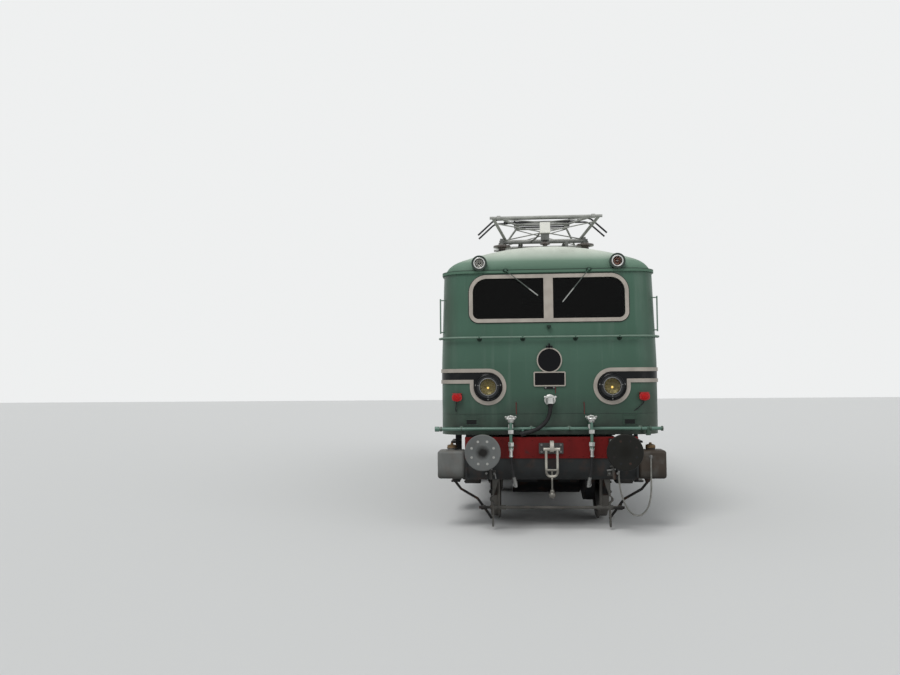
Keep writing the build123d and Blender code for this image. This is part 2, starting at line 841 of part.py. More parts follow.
with BuildPart() as underframe:
    with BuildPart():
        add(inner_form)
        block((-2000, 2000), (-front_y, front_y), (floor_z - floor_t, floor_z), mode=Mode.INTERSECT)
    inner_half = body_half_w - wall
    for side in (-1, 1):
        x_span = sorted((side * (inner_half - sill_w), side * inner_half))
        block(x_span, (-front_y + corner_r, front_y - corner_r), (skirt_z, floor_z - floor_t))
    for y in cross_members:
        for end in {-1, 1} if y else {1}:
            block((-inner_half, inner_half), (end * y - 40, end * y + 40),
                  (floor_z - floor_t - 95, floor_z - floor_t))
    for end in (-1, 1):
        y = end * pivot_y
        block((-inner_half, inner_half), (y - bolster_half, y + bolster_half),
              (bolster_low, floor_z - floor_t))
        rod((0, y, bolster_low), (0, y, pin_low), pivot_pin_r)
        for side in (-1, 1):
            x_span = sorted(side * x for x in step_x)
            for z in step_heights:
                block(x_span, sorted(end * y for y in step_y), (z, z + step_t))
            for y in step_y:
                y_span = sorted((end * y, end * (y + (12 if y == step_y[0] else -12))))
                block(sorted((side * step_x[0], side * (step_x[0] + 60))), y_span, (step_heights[0], skirt_z))
                block(sorted((side * step_x[0], side * inner_half)), y_span, (skirt_z - 60, skirt_z + 20))
finish(underframe, "underframe")

# Boxes and air reservoirs hung between the bogies

box_low = rail_top + 420
reservoir_r = 190
reservoir_x = 330
reservoir_z = skirt_z - 260
reservoir_half_l = 390
box_half_l = 840

with BuildPart() as underfloor_boxes:
    for side in (-1, 1):
        x_span = sorted((side * 640, side * 1380))
        block(x_span, (-box_half_l, box_half_l), (box_low, skirt_z))
        for y in (-box_half_l / 2, box_half_l / 2):
            rod((side * reservoir_x, y - reservoir_half_l, reservoir_z),
                (side * reservoir_x, y + reservoir_half_l, reservoir_z), reservoir_r)
            for strap in (-260, 260):
                x_span = sorted((side * (reservoir_x - reservoir_r), side * (reservoir_x + reservoir_r)))
                block(x_span, (y + strap - 20, y + strap + 20), (reservoir_z, floor_z - floor_t))
finish(underfloor_boxes, "underfloor_boxes")

# Wheelsets: an axle with its two flanged wheels, turned as one piece

back_x = wheel_gap / 2
tread_x = back_x + flange_w
face_x = tread_x + tread_w
web_t = 34
tread_drop = 4
journal_x = face_x + 40


def wheelset_at(y):
    """A wheelset with its axle over a place along the track."""
    with BuildPart() as built:
        with BuildSketch(Plane(origin=(0, y, axle_z), x_dir=(1, 0, 0), z_dir=(0, -1, 0))):
            with BuildLine():
                rim_r = wheel_r - rim_depth
                half = [
                    (journal_x, 0), (journal_x, hub_r), (face_x - 30, hub_r), (face_x - 55, hub_r + 20),
                    (face_x - 55 - web_t / 2, rim_r - 20), (face_x, rim_r), (face_x, wheel_r - tread_drop),
                    (tread_x, wheel_r), (tread_x - 8, wheel_r + flange_depth),
                    (back_x + 6, wheel_r + flange_depth),
                    (back_x, wheel_r + 6), (back_x, rim_r), (face_x - 55 - 1.6 * web_t, rim_r - 20),
                    (face_x - 55 - web_t, hub_r + 20), (back_x, hub_r), (back_x, 0),
                ]
                Polyline(*half, close=True)
            make_face()
            mirror(about=Plane.YZ)
            with Locations((0, axle_r / 2)):
                Rectangle(2 * journal_x, axle_r)
            with Locations((0, journal_r / 2)):
                Rectangle(2 * axle_end_x, journal_r)
        revolve(axis=Axis((0, y, axle_z), (1, 0, 0)))
    return built


for name, y in (("front_outer", -pivot_y - wheelbase_half), ("front_inner", -pivot_y + wheelbase_half),
                ("rear_inner", pivot_y - wheelbase_half), ("rear_outer", pivot_y + wheelbase_half)):
    wheelset = wheelset_at(y)
    finish(wheelset, f"wheelset_{name}")

# Bogie, made for the -Y end: v is a distance from the pivot, positive towards that end's buffers

inner_end = 2220
arch_z = frame_top - 178
belly_z = frame_top - 440
belly_half = 760
transom_half = 230
transom = (rail_top + 690, rail_top + 1000)
bearer_r = 105
apron_r = 165
apron_z = rail_top + 800
apron_y = 5675
apron_half = headstock_half_w - 15
box_half = 150
box_x = (frame_x - 45, axle_end_x + 40)
spring_v = 240
spring_r = 70
spring_seat_z = axle_z - 50
spring_x = frame_x + frame_t / 2
link_x = spring_x + spring_r + 34
link_z = axle_z + 45
sandbox_x = (headstock_half_w, 1502)
sandbox_y = (5490, 5800)
sandbox_z = (rail_top + 655, rail_top + 1025)
sandbox_round = 40
cap_steps = ((62, 0, 45), (48, 45, 62))

# The loose cable beside the right buffer, as x, distance out from the middle and z, from its clip on the
# apron to its clip on the sandbox
cable_r = 11
cable_route = [(868, 5862, 800), (868, 5862, 640), (915, 5866, 420), (1000, 5866, 255), (1125, 5862, 205),
               (1235, 5855, 300), (1283, 5845, 480), (1290, 5832, 720), (1290, 5832, 985)]
cable_x, cable_out, cable_z = cable_route[0]
clip_half = 22


def at(v):
    """The place along the -Y half of a distance from the front pivot towards the buffers."""
    return -pivot_y - v


with BuildPart() as bogie_frame:
    for side in (-1, 1):
        x_low = min(side * frame_x, side * (frame_x + frame_t))
        with BuildSketch(Plane.YZ.offset(x_low)) as cheek:
            with BuildLine():
                Polyline((at(-inner_end), frame_top), (-headstock_y, frame_top), (-headstock_y, arch_z),
                         (at(belly_half + 180), arch_z), (at(belly_half), belly_z),
                         (at(-belly_half), belly_z),
                         (at(-belly_half - 180), arch_z), (at(-inner_end), arch_z), close=True)
            make_face()
            fillet(cheek.vertices().filter_by(lambda v: v.Y < frame_top - 1 and v.X > 1 - headstock_y), 60)
        extrude(amount=frame_t)
        block(sorted((side * (frame_x + frame_t), side * headstock_half_w)), (-headstock_y, -sandbox_y[0]),
              (sandbox_z[0] + 20, headstock_high))
        for v in (-belly_half + 40, belly_half - 40):
            block(sorted((side * (frame_x + frame_t), side * (link_x + 32))), (at(v) - 40, at(v) + 40),
                  (link_z - 42, link_z + 42))
        with Locations((side * spring_x, -pivot_y, (frame_top + bolster_low - seat_gap) / 2)):
            Cylinder(bearer_r, bolster_low - seat_gap - frame_top)
    block((-headstock_half_w, headstock_half_w), (-headstock_y, -headstock_y + headstock_t),
          (headstock_low, headstock_high))
    block((-frame_x, frame_x), (at(-inner_end + 70), at(-inner_end)), (arch_z, frame_top))
    block((-frame_x, frame_x), (at(transom_half), at(-transom_half)), transom)
    with BuildSketch(Plane.YZ.offset(-apron_half)) as apron:
        with Locations((-apron_y, apron_z)):
            Circle(apron_r)
            with Locations((0, apron_r / 2)):
                Rectangle(2 * apron_r, apron_r)
    extrude(apron.sketch, amount=2 * apron_half)
    block((-frame_x, frame_x), (-headstock_y + headstock_t - 10, -apron_y + 60),
          (headstock_low, headstock_low + 40))
    block((cable_x - clip_half, cable_x + clip_half), (-cable_out - cable_r - 6, -apron_y - apron_r + 10),
          (cable_z, cable_z + 2 * clip_half))
    with Locations((0, -pivot_y, (transom[0] + transom[1]) / 2)):
        Cylinder(pivot_pin_r + seat_gap, transom[1] - transom[0] + 20, mode=Mode.SUBTRACT)
finish_ends(bogie_frame, "bogie_frame")

with BuildPart() as axlebox_set:
    for v in (wheelbase_half, -wheelbase_half):
        y = at(v)
        for side in (-1, 1):
            block(sorted(side * x for x in box_x), (y - box_half, y + box_half),
                  (axle_z - box_half, axle_z + box_half))
            rod((side * box_x[1], y, axle_z), (side * (box_x[1] + 26), y, axle_z), box_half - 35)
            block(sorted(side * (spring_x + w) for w in (-62, 62)), (y - spring_v - 76, y + spring_v + 76),
                  (spring_seat_z - 42, spring_seat_z))
            inward = 1 if v > 0 else -1
            rod((side * link_x, y + inward * 100, link_z),
                (side * link_x, y + inward * (wheelbase_half - belly_half), link_z), 24)
            rod((side * (box_x[0] - 10), y, axle_z), (side * (axle_end_x + seat_gap), y, axle_z),
                journal_r + seat_gap, mode=Mode.SUBTRACT)
    add(bogie_frame.part, mode=Mode.SUBTRACT)
finish_ends(axlebox_set, "axleboxes")

with BuildPart() as spring_set:
    for v in (wheelbase_half, -wheelbase_half):
        for offset in (-spring_v, spring_v):
            for side in (-1, 1):
                y = at(v) + offset
                rod((side * spring_x, y, spring_seat_z), (side * spring_x, y, arch_z), spring_r)
finish_ends(spring_set, "springs")

# Brake shoes on their hangers, with the guard irons ahead of the outer wheels

shoe_gap = 6
shoe_t = 58
shoe_x = (tread_x + 10, face_x - 6)
shoe_drop = 60
shoe_h = 380
hanger_z = rail_top + 985
hanger_r = 24
guard_x = 765
guard_y = 5700
guard_half_d = 35
guard_half_t = 12
foot_half_d = 11
guard_line = [(0, rail_top + 500), (0, rail_top + 430), (34, rail_top + 398), (34, rail_top + 362),
              (0, rail_top + 330), (8, rail_top + 20)]
guard_foot = [(10, apron_z), (-125, apron_z), (-guard_half_t, rail_top + 440), (guard_half_t, rail_top + 440)]
guard_bar_z = rail_top + 270
guard_bar_half = 957

with BuildPart() as brake_set:
    for v in (wheelbase_half, -wheelbase_half):
        for way in (-1, 1):
            y_axle = at(v)
            hang_y = y_axle + way * (wheel_r + shoe_gap + shoe_t + 8)
            for side in (-1, 1):
                x_span = sorted(side * x for x in shoe_x)
                with BuildSketch(Plane.YZ.offset(x_span[0])) as shoe:
                    with Locations((y_axle, axle_z)):
                        Circle(wheel_r + shoe_gap + shoe_t)
                        Circle(wheel_r + shoe_gap, mode=Mode.SUBTRACT)
                    with Locations((y_axle + way * wheel_r, axle_z - shoe_drop)):
                        Rectangle(4 * shoe_t, shoe_h, mode=Mode.INTERSECT)
                extrude(shoe.sketch, amount=x_span[1] - x_span[0])
                block(sorted((side * (shoe_x[0] + 14), side * (shoe_x[1] - 14))), (hang_y - 17, hang_y + 17),
                      (axle_z - shoe_drop - 90, hanger_z + hanger_r))
                rod((side * (shoe_x[0] + 14), hang_y, hanger_z), (side * frame_x, hang_y, hanger_z), hanger_r)
    for side in (-1, 1):
        outer = [(side * (guard_x + x + guard_half_t), z) for x, z in guard_line]
        inner = [(side * (guard_x + x - guard_half_t), z) for x, z in reversed(guard_line)]
        foot = [(side * (guard_x + x), z) for x, z in guard_foot]
        for outline, half in ((outer + inner, guard_half_d), (foot, foot_half_d)):
            with BuildSketch(facing(0, guard_y - half, 0)):
                with BuildLine():
                    Polyline(*outline, close=True)
                make_face()
            extrude(amount=2 * half)
    rod((-guard_bar_half, -guard_y, guard_bar_z), (guard_bar_half, -guard_y, guard_bar_z), 20)
    add(bogie_frame.part, mode=Mode.SUBTRACT)
finish_ends(brake_set, "brake_gear")

# Traction motors, each hung on its axle and on the transom

motor_v = 775
motor_z = rail_top + 612
motor_r = 372
motor_half = 500
case_r = 395
case_x = (500, 640)
nose_z = (rail_top + 740, rail_top + 880)

with BuildPart() as motor_set:
    for way in (-1, 1):
        y_motor = at(way * motor_v)
        y_axle = at(way * wheelbase_half)
        rod((-motor_half, y_motor, motor_z), (motor_half, y_motor, motor_z), motor_r)
        block((-220, 220), sorted((at(way * transom_half), at(way * (motor_v - 200)))), nose_z)
        for x_span in ((-430, -150), (150, 430)):
            block(x_span, sorted((y_motor, at(way * (wheelbase_half + 135)))), (axle_z - 130, axle_z + 130))
        with BuildSketch(Plane.YZ.offset(case_x[0])) as case:
            with Locations((y_axle, axle_z)):
                Circle(case_r)
            with Locations((y_motor, motor_z)):
                Circle(215)
            make_hull()
        extrude(case.sketch, amount=case_x[1] - case_x[0])
        rod((-700, y_axle, axle_z), (700, y_axle, axle_z), axle_r + seat_gap, mode=Mode.SUBTRACT)
finish_ends(motor_set, "motors")

# Buffers and drawgear on the headstock

buffer_flange = 260
housing_r = 108
housing_l = 330
plunger_r = 82
head_t = 40

with BuildPart() as buffer_pair:
    for side in (-1, 1):
        x = side * buffer_x
        block((x - buffer_flange / 2, x + buffer_flange / 2), (-headstock_y - 25, -headstock_y),
              (buffer_z - buffer_flange / 2, buffer_z + buffer_flange / 2))
        rod((x, -headstock_y, buffer_z), (x, -headstock_y - housing_l, buffer_z), housing_r)
        rod((x, -headstock_y - housing_l + 50, buffer_z), (x, -headstock_y - housing_l, buffer_z),
            housing_r + 16)
        rod((x, -headstock_y - housing_l, buffer_z), (x, -buffer_face_y + head_t, buffer_z), plunger_r)
        with BuildSketch(facing(x, buffer_face_y - head_t, buffer_z)):
            Circle(buffer_r)
        extrude(amount=head_t)
        fillet(buffer_pair.faces(Select.LAST).sort_by(Axis.Y)[0].edges(), 12)
finish_ends(buffer_pair, "buffers")

hook_z = rail_top + 1062
hook_plate = (320, 140)
hook_t = 48
shackle_y = headstock_y + 165
shackle_x = 72
shackle_low = rail_top + 715
trunnion_z = hook_z - 268
lever_low = rail_top + 500
weight_r = 46

with BuildPart() as draw_set:
    with BuildSketch(facing(0, headstock_y, hook_z)):
        RectangleRounded(hook_plate[0], hook_plate[1], 12)
    extrude(amount=22)
    block((-hook_t / 2, hook_t / 2), (-shackle_y - 40, -headstock_y), (hook_z - 34, hook_z + 34))
    with BuildSketch(Plane.YZ.offset(-hook_t / 2)) as hook:
        with Locations((-shackle_y - 40, hook_z + 40)):
            Circle(74)
            Circle(34, mode=Mode.SUBTRACT)
            with Locations((40, 40)):
                Rectangle(80, 80, mode=Mode.SUBTRACT)
    extrude(hook.sketch, amount=hook_t)
    rod((-shackle_x - 34, -shackle_y, hook_z), (shackle_x + 34, -shackle_y, hook_z), 22)
    bent_rod([(-shackle_x, -shackle_y, hook_z), (-shackle_x, -shackle_y, shackle_low),
              (shackle_x, -shackle_y, shackle_low), (shackle_x, -shackle_y, hook_z)], 60, 17)
    rod((-shackle_x, -shackle_y, trunnion_z), (shackle_x, -shackle_y, trunnion_z), 15)
    rod((0, -shackle_y, trunnion_z), (0, -shackle_y, lever_low), 11)
    with Locations((0, -shackle_y, lever_low - weight_r / 2)):
        Sphere(weight_r)
    with Locations((0, -shackle_y, lever_low + weight_r / 2)):
        Sphere(0.62 * weight_r)
finish_ends(draw_set, "drawgear")

with BuildPart() as sandbox_pair:
    for side in (-1, 1):
        with BuildSketch(Plane.XY.offset(sandbox_z[0])):
            with Locations((side * sum(sandbox_x) / 2, -sum(sandbox_y) / 2)):
                RectangleRounded(sandbox_x[1] - sandbox_x[0], sandbox_y[1] - sandbox_y[0], 50)
        extrude(amount=sandbox_z[1] - sandbox_z[0])
        box_faces = sandbox_pair.faces(Select.LAST).sort_by(Axis.Z)
        fillet(box_faces[-1].edges() + box_faces[0].edges(), sandbox_round)
        cap_x = side * sum(sandbox_x) / 2
        cap_y = -sum(sandbox_y) / 2
        for radius, low, high in cap_steps:
            rod((cap_x, cap_y, sandbox_z[1] + low), (cap_x, cap_y, sandbox_z[1] + high), radius)
finish_ends(sandbox_pair, "sandboxes")

# Pantographs, folded, made for the -Y end: u is a distance from the pantograph's middle towards that end

knee_u = panto_pivot_y + lower_arm * cos(radians(lower_angle))
knee_z = panto_base_z + lower_arm * sin(radians(lower_angle))
upper_arm = (knee_u - head_pin_u) / cos(radians(upper_angle))
head_z = knee_z + upper_arm * sin(radians(upper_angle))
shaft_half = 632
arm_foot_x = 560
arm_knee_x = 740
sleeve_x = 660
sleeve_half = 26
head_sleeve_x = 380
knee_r = 20
arm_r = 22
upper_r = 16
pin_r = 14
open_pin_gap = 6
brace_r = 9


def panto(x, u, z, way):
    """A point of a pantograph on the -Y roof end, way 1 on its outer arms and -1 on its inner arms."""
    return (x, -panto_y - way * u, z)


def lower_arm_part(way):
    """A lower arm: the shaft in its bearings, two tubes, a brace and the knee tube."""
    with BuildPart() as arm:
        rod(panto(-shaft_half, panto_pivot_y, panto_base_z, way),
            panto(shaft_half, panto_pivot_y, panto_base_z, way), shaft_r)
        rod(panto(-knee_half_w, knee_u, knee_z, way), panto(knee_half_w, knee_u, knee_z, way), knee_r)
        for side in (-1, 1):
            foot = panto(side * arm_foot_x, panto_pivot_y, panto_base_z, way)
            knee = panto(side * arm_knee_x, knee_u, knee_z, way)
            rod(foot, knee, arm_r)
            other_foot = panto(-side * arm_foot_x, panto_pivot_y, panto_base_z, way)
            other_knee = panto(-side * arm_knee_x, knee_u, knee_z, way)
            rod(along(foot, knee, 0.78), along(other_foot, other_knee, 0.06), brace_r)
    return arm


def upper_arm_part(way, top_gap):
    """An upper arm: sleeves on the knee tube, two tubes drawn together, and sleeves for the head's pin."""
    with BuildPart() as arm:
        for side in (-1, 1):
            knee = panto(side * sleeve_x, knee_u, knee_z, way)
            top = panto(side * head_sleeve_x, head_pin_u, head_z, way)
            rod(knee, top, upper_r)
            other_knee = panto(-side * sleeve_x, knee_u, knee_z, way)
            other_top = panto(-side * head_sleeve_x, head_pin_u, head_z, way)
            rod(along(knee, top, 0.2), along(other_knee, other_top, 0.9), brace_r - 1)
            for middle, radius in ((knee, knee_r + 11), (top, pin_r + top_gap + 8)):
                rod((middle[0] - sleeve_half, middle[1], middle[2]),
                    (middle[0] + sleeve_half, middle[1], middle[2]), radius)
        tie = [along(panto(side * sleeve_x, knee_u, knee_z, way),
                     panto(side * head_sleeve_x, head_pin_u, head_z, way), 0.92) for side in (-1, 1)]
        rod(*tie, upper_r - 3)
        rod(panto(-900, knee_u, knee_z, way), panto(900, knee_u, knee_z, way), knee_r + seat_gap,
            mode=Mode.SUBTRACT)
        rod(panto(-900, head_pin_u, head_z, way), panto(900, head_pin_u, head_z, way), pin_r + top_gap,
            mode=Mode.SUBTRACT)
    return arm


finish_ends(lower_arm_part(1), "panto_outer_lower_arm")
finish_ends(lower_arm_part(-1), "panto_inner_lower_arm")
finish_ends(upper_arm_part(1, seat_gap), "panto_outer_upper_arm")
finish_ends(upper_arm_part(-1, open_pin_gap), "panto_inner_upper_arm")

strip_u = 170
strip_half = 600
strip_top = head_z + 108
strip_w = 62
strip_t = 30
cheek_x = 424
cheek_t = 12
horn_reach = 1000
horn_bend_x = 740
horn_drop = 265
horn_r = 14

with BuildPart() as head_part:
    for way in (-1, 1):
        rod(panto(-cheek_x - 6, head_pin_u, head_z, way), panto(cheek_x + 6, head_pin_u, head_z, way), pin_r)
        y = -panto_y - way * strip_u
        block((-strip_half, strip_half), (y - strip_w / 2, y + strip_w / 2), (strip_top - strip_t, strip_top))
        for side in (-1, 1):
            rod(panto(side * cheek_x, head_pin_u, head_z, way),
                (side * cheek_x, y, strip_top - strip_t / 2), 11)
            bent_rod([(side * (strip_half - 60), y, strip_top - 2 * horn_r),
                      (side * horn_bend_x, y, strip_top - 2 * horn_r),
                      (side * horn_reach, y, strip_top - horn_drop)], 160, horn_r)
    for side in (-1, 1):
        block(sorted((side * (cheek_x - cheek_t / 2), side * (cheek_x + cheek_t / 2))),
              (-panto_y - head_pin_u - 24, -panto_y + head_pin_u + 24), (head_z - 24, head_z + 24))
        rod((side * (strip_half - 30), -panto_y - strip_u, strip_top - 22),
            (side * (strip_half - 30), -panto_y + strip_u, strip_top - 22), 11)
finish_ends(head_part, "panto_head")

# Roof equipment: pantograph bases on insulators, the line between them, an arrester and a whistle

base_half_u = 620
base_rail_r = 30
base_rail_z = panto_base_z - 62
insulator_u = 560
insulator_low = 3700
shed_r = 128
shed_outline = [(0.36, 0), (0.36, 0.48), (0.84, 0.53), (0.84, 0.58), (0.42, 0.7), (0.42, 0.76), (1, 0.81),
                (1, 0.87), (0.4, 0.94), (0.4, 1)]
bus_x = -250
bus_shed_r = 78
bus_r = 14
bus_posts = [-2050, -700]
arrester_y = 4900
whistle_x = 290
whistle_y = 5180


def insulator(x, y, low, top, radius):
    """An insulator with two sheds, standing on the roof."""
    height = top - low
    with BuildSketch(Plane(origin=(x, y, low), x_dir=(1, 0, 0), z_dir=(0, -1, 0))) as outline:
        with BuildLine():
            Polyline((0, 0), *[(share * radius, level * height) for share, level in shed_outline],
                     (0, height), close=True)
        make_face()
    revolve(outline.sketch, axis=Axis((x, y, low), (0, 0, 1)))


with BuildPart() as roof_gear:
    for side in (-1, 1):
        rod((side * insulator_x, -panto_y - base_half_u, base_rail_z),
            (side * insulator_x, -panto_y + base_half_u, base_rail_z), base_rail_r)
        for way in (-1, 1):
            insulator(side * insulator_x, -panto_y - way * insulator_u, insulator_low, base_rail_z, shed_r)
            y = -panto_y - way * panto_pivot_y
            block(sorted((side * (insulator_x - 30), side * (insulator_x + 30))), (y - 40, y + 40),
                  (base_rail_z, panto_base_z + 42))
            rod((side * (insulator_x - 60), y, panto_base_z), (side * (insulator_x + 60), y, panto_base_z),
                shaft_r + seat_gap, mode=Mode.SUBTRACT)
    for way in (-1, 1):
        y = -panto_y - way * (base_half_u - 30)
        rod((-insulator_x, y, base_rail_z), (insulator_x, y, base_rail_z), base_rail_r - 6)
    insulator(0, -arrester_y, insulator_low, rail_top + 3960, 70)
    block((-58, 58), (-arrester_y - 70, -arrester_y + 70), (rail_top + 3960, rail_top + 4060))
    block((-72, 72), (-arrester_y - 90, -arrester_y + 60), (rail_top + 4060, rail_top + 4210))
    rod((bus_x, -panto_y + base_half_u - 30, base_rail_z), (bus_x, 0, base_rail_z), bus_r)
    for y in bus_posts:
        insulator(bus_x, y, insulator_low, base_rail_z, bus_shed_r)
    rod((whistle_x, -whistle_y, 3700), (whistle_x, -whistle_y, rail_top + 3900), 22)
    add(roof_outer, mode=Mode.SUBTRACT)
    add(roof_hatches.part, mode=Mode.SUBTRACT)

with BuildPart() as roof_electrics:
    add_ends(roof_gear.part)
finish(roof_electrics, "roof_electrics")

# Brake hoses and jumper cables

def cord_radii(points):
    """Arc radii as large as the runs on each side of a corner allow."""
    radii = []
    for before, here, after in zip(points, points[1:], points[2:]):
        into = Vector(*here) - Vector(*before)
        out = Vector(*after) - Vector(*here)
        half_turn = radians(into.get_angle(out) / 2)
        radii.append(0.45 * min(into.length, out.length) / tan(half_turn))
    return radii


def cord(points, radius):
    """A cord's tube along runs joined by tangent arcs."""
    places = [on_end(point) for point in points]
    radii = cord_radii(places)
    print("cord radii", [round(r) for r in radii])
    with BuildPart() as tube:
        bent_rod(places, radii, radius)
    return tube


hose_right = cord(hose_route, hose_r)
hose_left = cord([(-x, y, z) for x, y, z in hose_route], hose_r)
finish_ends(hose_right, "hose_right")
finish_ends(hose_left, "hose_left")
jumper = cord(jumper_route, jumper_r)
with BuildPart() as jumper_cables:
    add_ends(jumper.part)
finish(jumper_cables, "jumper_cables")

cable = cord(cable_route, cable_r)
finish(cable, "front_loose_cable")

# Coupling heads on the hoses' ends

with BuildPart() as head_set:
    for side in (-1, 1):
        tip = [(side * x, -y, z) for x, y, z in hose_route[-2:]]
        rod(tip[1], along(*tip, 1.5), hose_r + 9)
        rod(along(*tip, 1.3), along(*tip, 1.75), 17)

with BuildPart() as hose_couplings:
    add_ends(head_set.part)
finish(hose_couplings, "hose_couplings")
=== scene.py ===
import bmesh
import bpy
from math import cos, pi, radians, sin, sqrt, tan, tau
from mathutils import Matrix, Vector


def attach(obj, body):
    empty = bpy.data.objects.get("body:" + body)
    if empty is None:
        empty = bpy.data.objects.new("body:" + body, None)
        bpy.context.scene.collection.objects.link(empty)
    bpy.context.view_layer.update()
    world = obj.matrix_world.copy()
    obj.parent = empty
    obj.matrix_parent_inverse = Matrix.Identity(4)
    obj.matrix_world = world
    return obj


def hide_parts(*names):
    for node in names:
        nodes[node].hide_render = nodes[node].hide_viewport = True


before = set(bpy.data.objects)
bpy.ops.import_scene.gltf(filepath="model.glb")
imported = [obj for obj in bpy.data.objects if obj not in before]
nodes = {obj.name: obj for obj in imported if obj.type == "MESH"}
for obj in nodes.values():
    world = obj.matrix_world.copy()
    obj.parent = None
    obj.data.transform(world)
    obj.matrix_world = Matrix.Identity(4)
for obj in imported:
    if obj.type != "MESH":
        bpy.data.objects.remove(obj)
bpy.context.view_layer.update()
scene = bpy.context.scene

# Metres, in the model's own frame: +Y along the locomotive, the -Y cab towards the camera, +Z up.
# The places that the source names, repeated for what is fitted on them.
RAIL = 0.028
FRONT_Y = 5.712
EAVES_Y = 5.655
BODY_X = 1.46
EAVES_X = 1.424
SKIRT_Z = RAIL + 1.23
WAIST_Z = RAIL + 2.2
EAVES_Z = RAIL + 3.43
ROOF_TOP = RAIL + 3.79
ROOF_R = 3.78
BAND_LOW = RAIL + 1.915
BAND_HIGH = RAIL + 2.112
MOULDING = 0.05
RING_X = 0.82
RING_Z = RAIL + 1.868
LAMP_FACE_Y = FRONT_Y + 0.062
LAMP_GLASS_R = 0.116
MARKER_X = 0.923
MARKER_Z = RAIL + 3.536
MARKER_FACE_Y = EAVES_Y + 0.062
HEADSTOCK_Y = 5.85
HEADSTOCK_Z = (RAIL + 0.93, RAIL + 1.205)
BUFFER_X = 0.875
BUFFER_Z = RAIL + 1.06
BUFFER_FACE_Y = 6.492
PIVOT_Y = 3.2
WHEELBASE_HALF = 1.475
WHEEL_R = 0.625
AXLE_Z = RAIL + WHEEL_R
PANTO_Y = 3.75
PANTO_Z = RAIL + 4.092

ENDS = {"front": -1, "rear": 1}
SIDES = {"right": 1, "left": -1}
WAYS = (1, -1)
ACROSS = Vector((1, 0, 0))
OUT = Vector((0, 1, 0))
UP = Vector((0, 0, 1))


# Materials

def feed(socket, value):
    """Links a socket to another one, or sets it."""
    if isinstance(value, bpy.types.NodeSocket):
        socket.id_data.links.new(value, socket)
    else:
        socket.default_value = value


def add_node(tree, kind, **inputs):
    """A node with its sockets set or linked; a name such as _1 is a socket's number."""
    node = tree.nodes.new(kind)
    for name, value in inputs.items():
        feed(node.inputs[int(name[1:]) if name[0] == "_" else name.replace("_", " ")], value)
    return node


def maths(tree, operation, a, b=0.0):
    node = add_node(tree, "ShaderNodeMath", _0=a, _1=b)
    node.operation = operation
    return node.outputs[0]


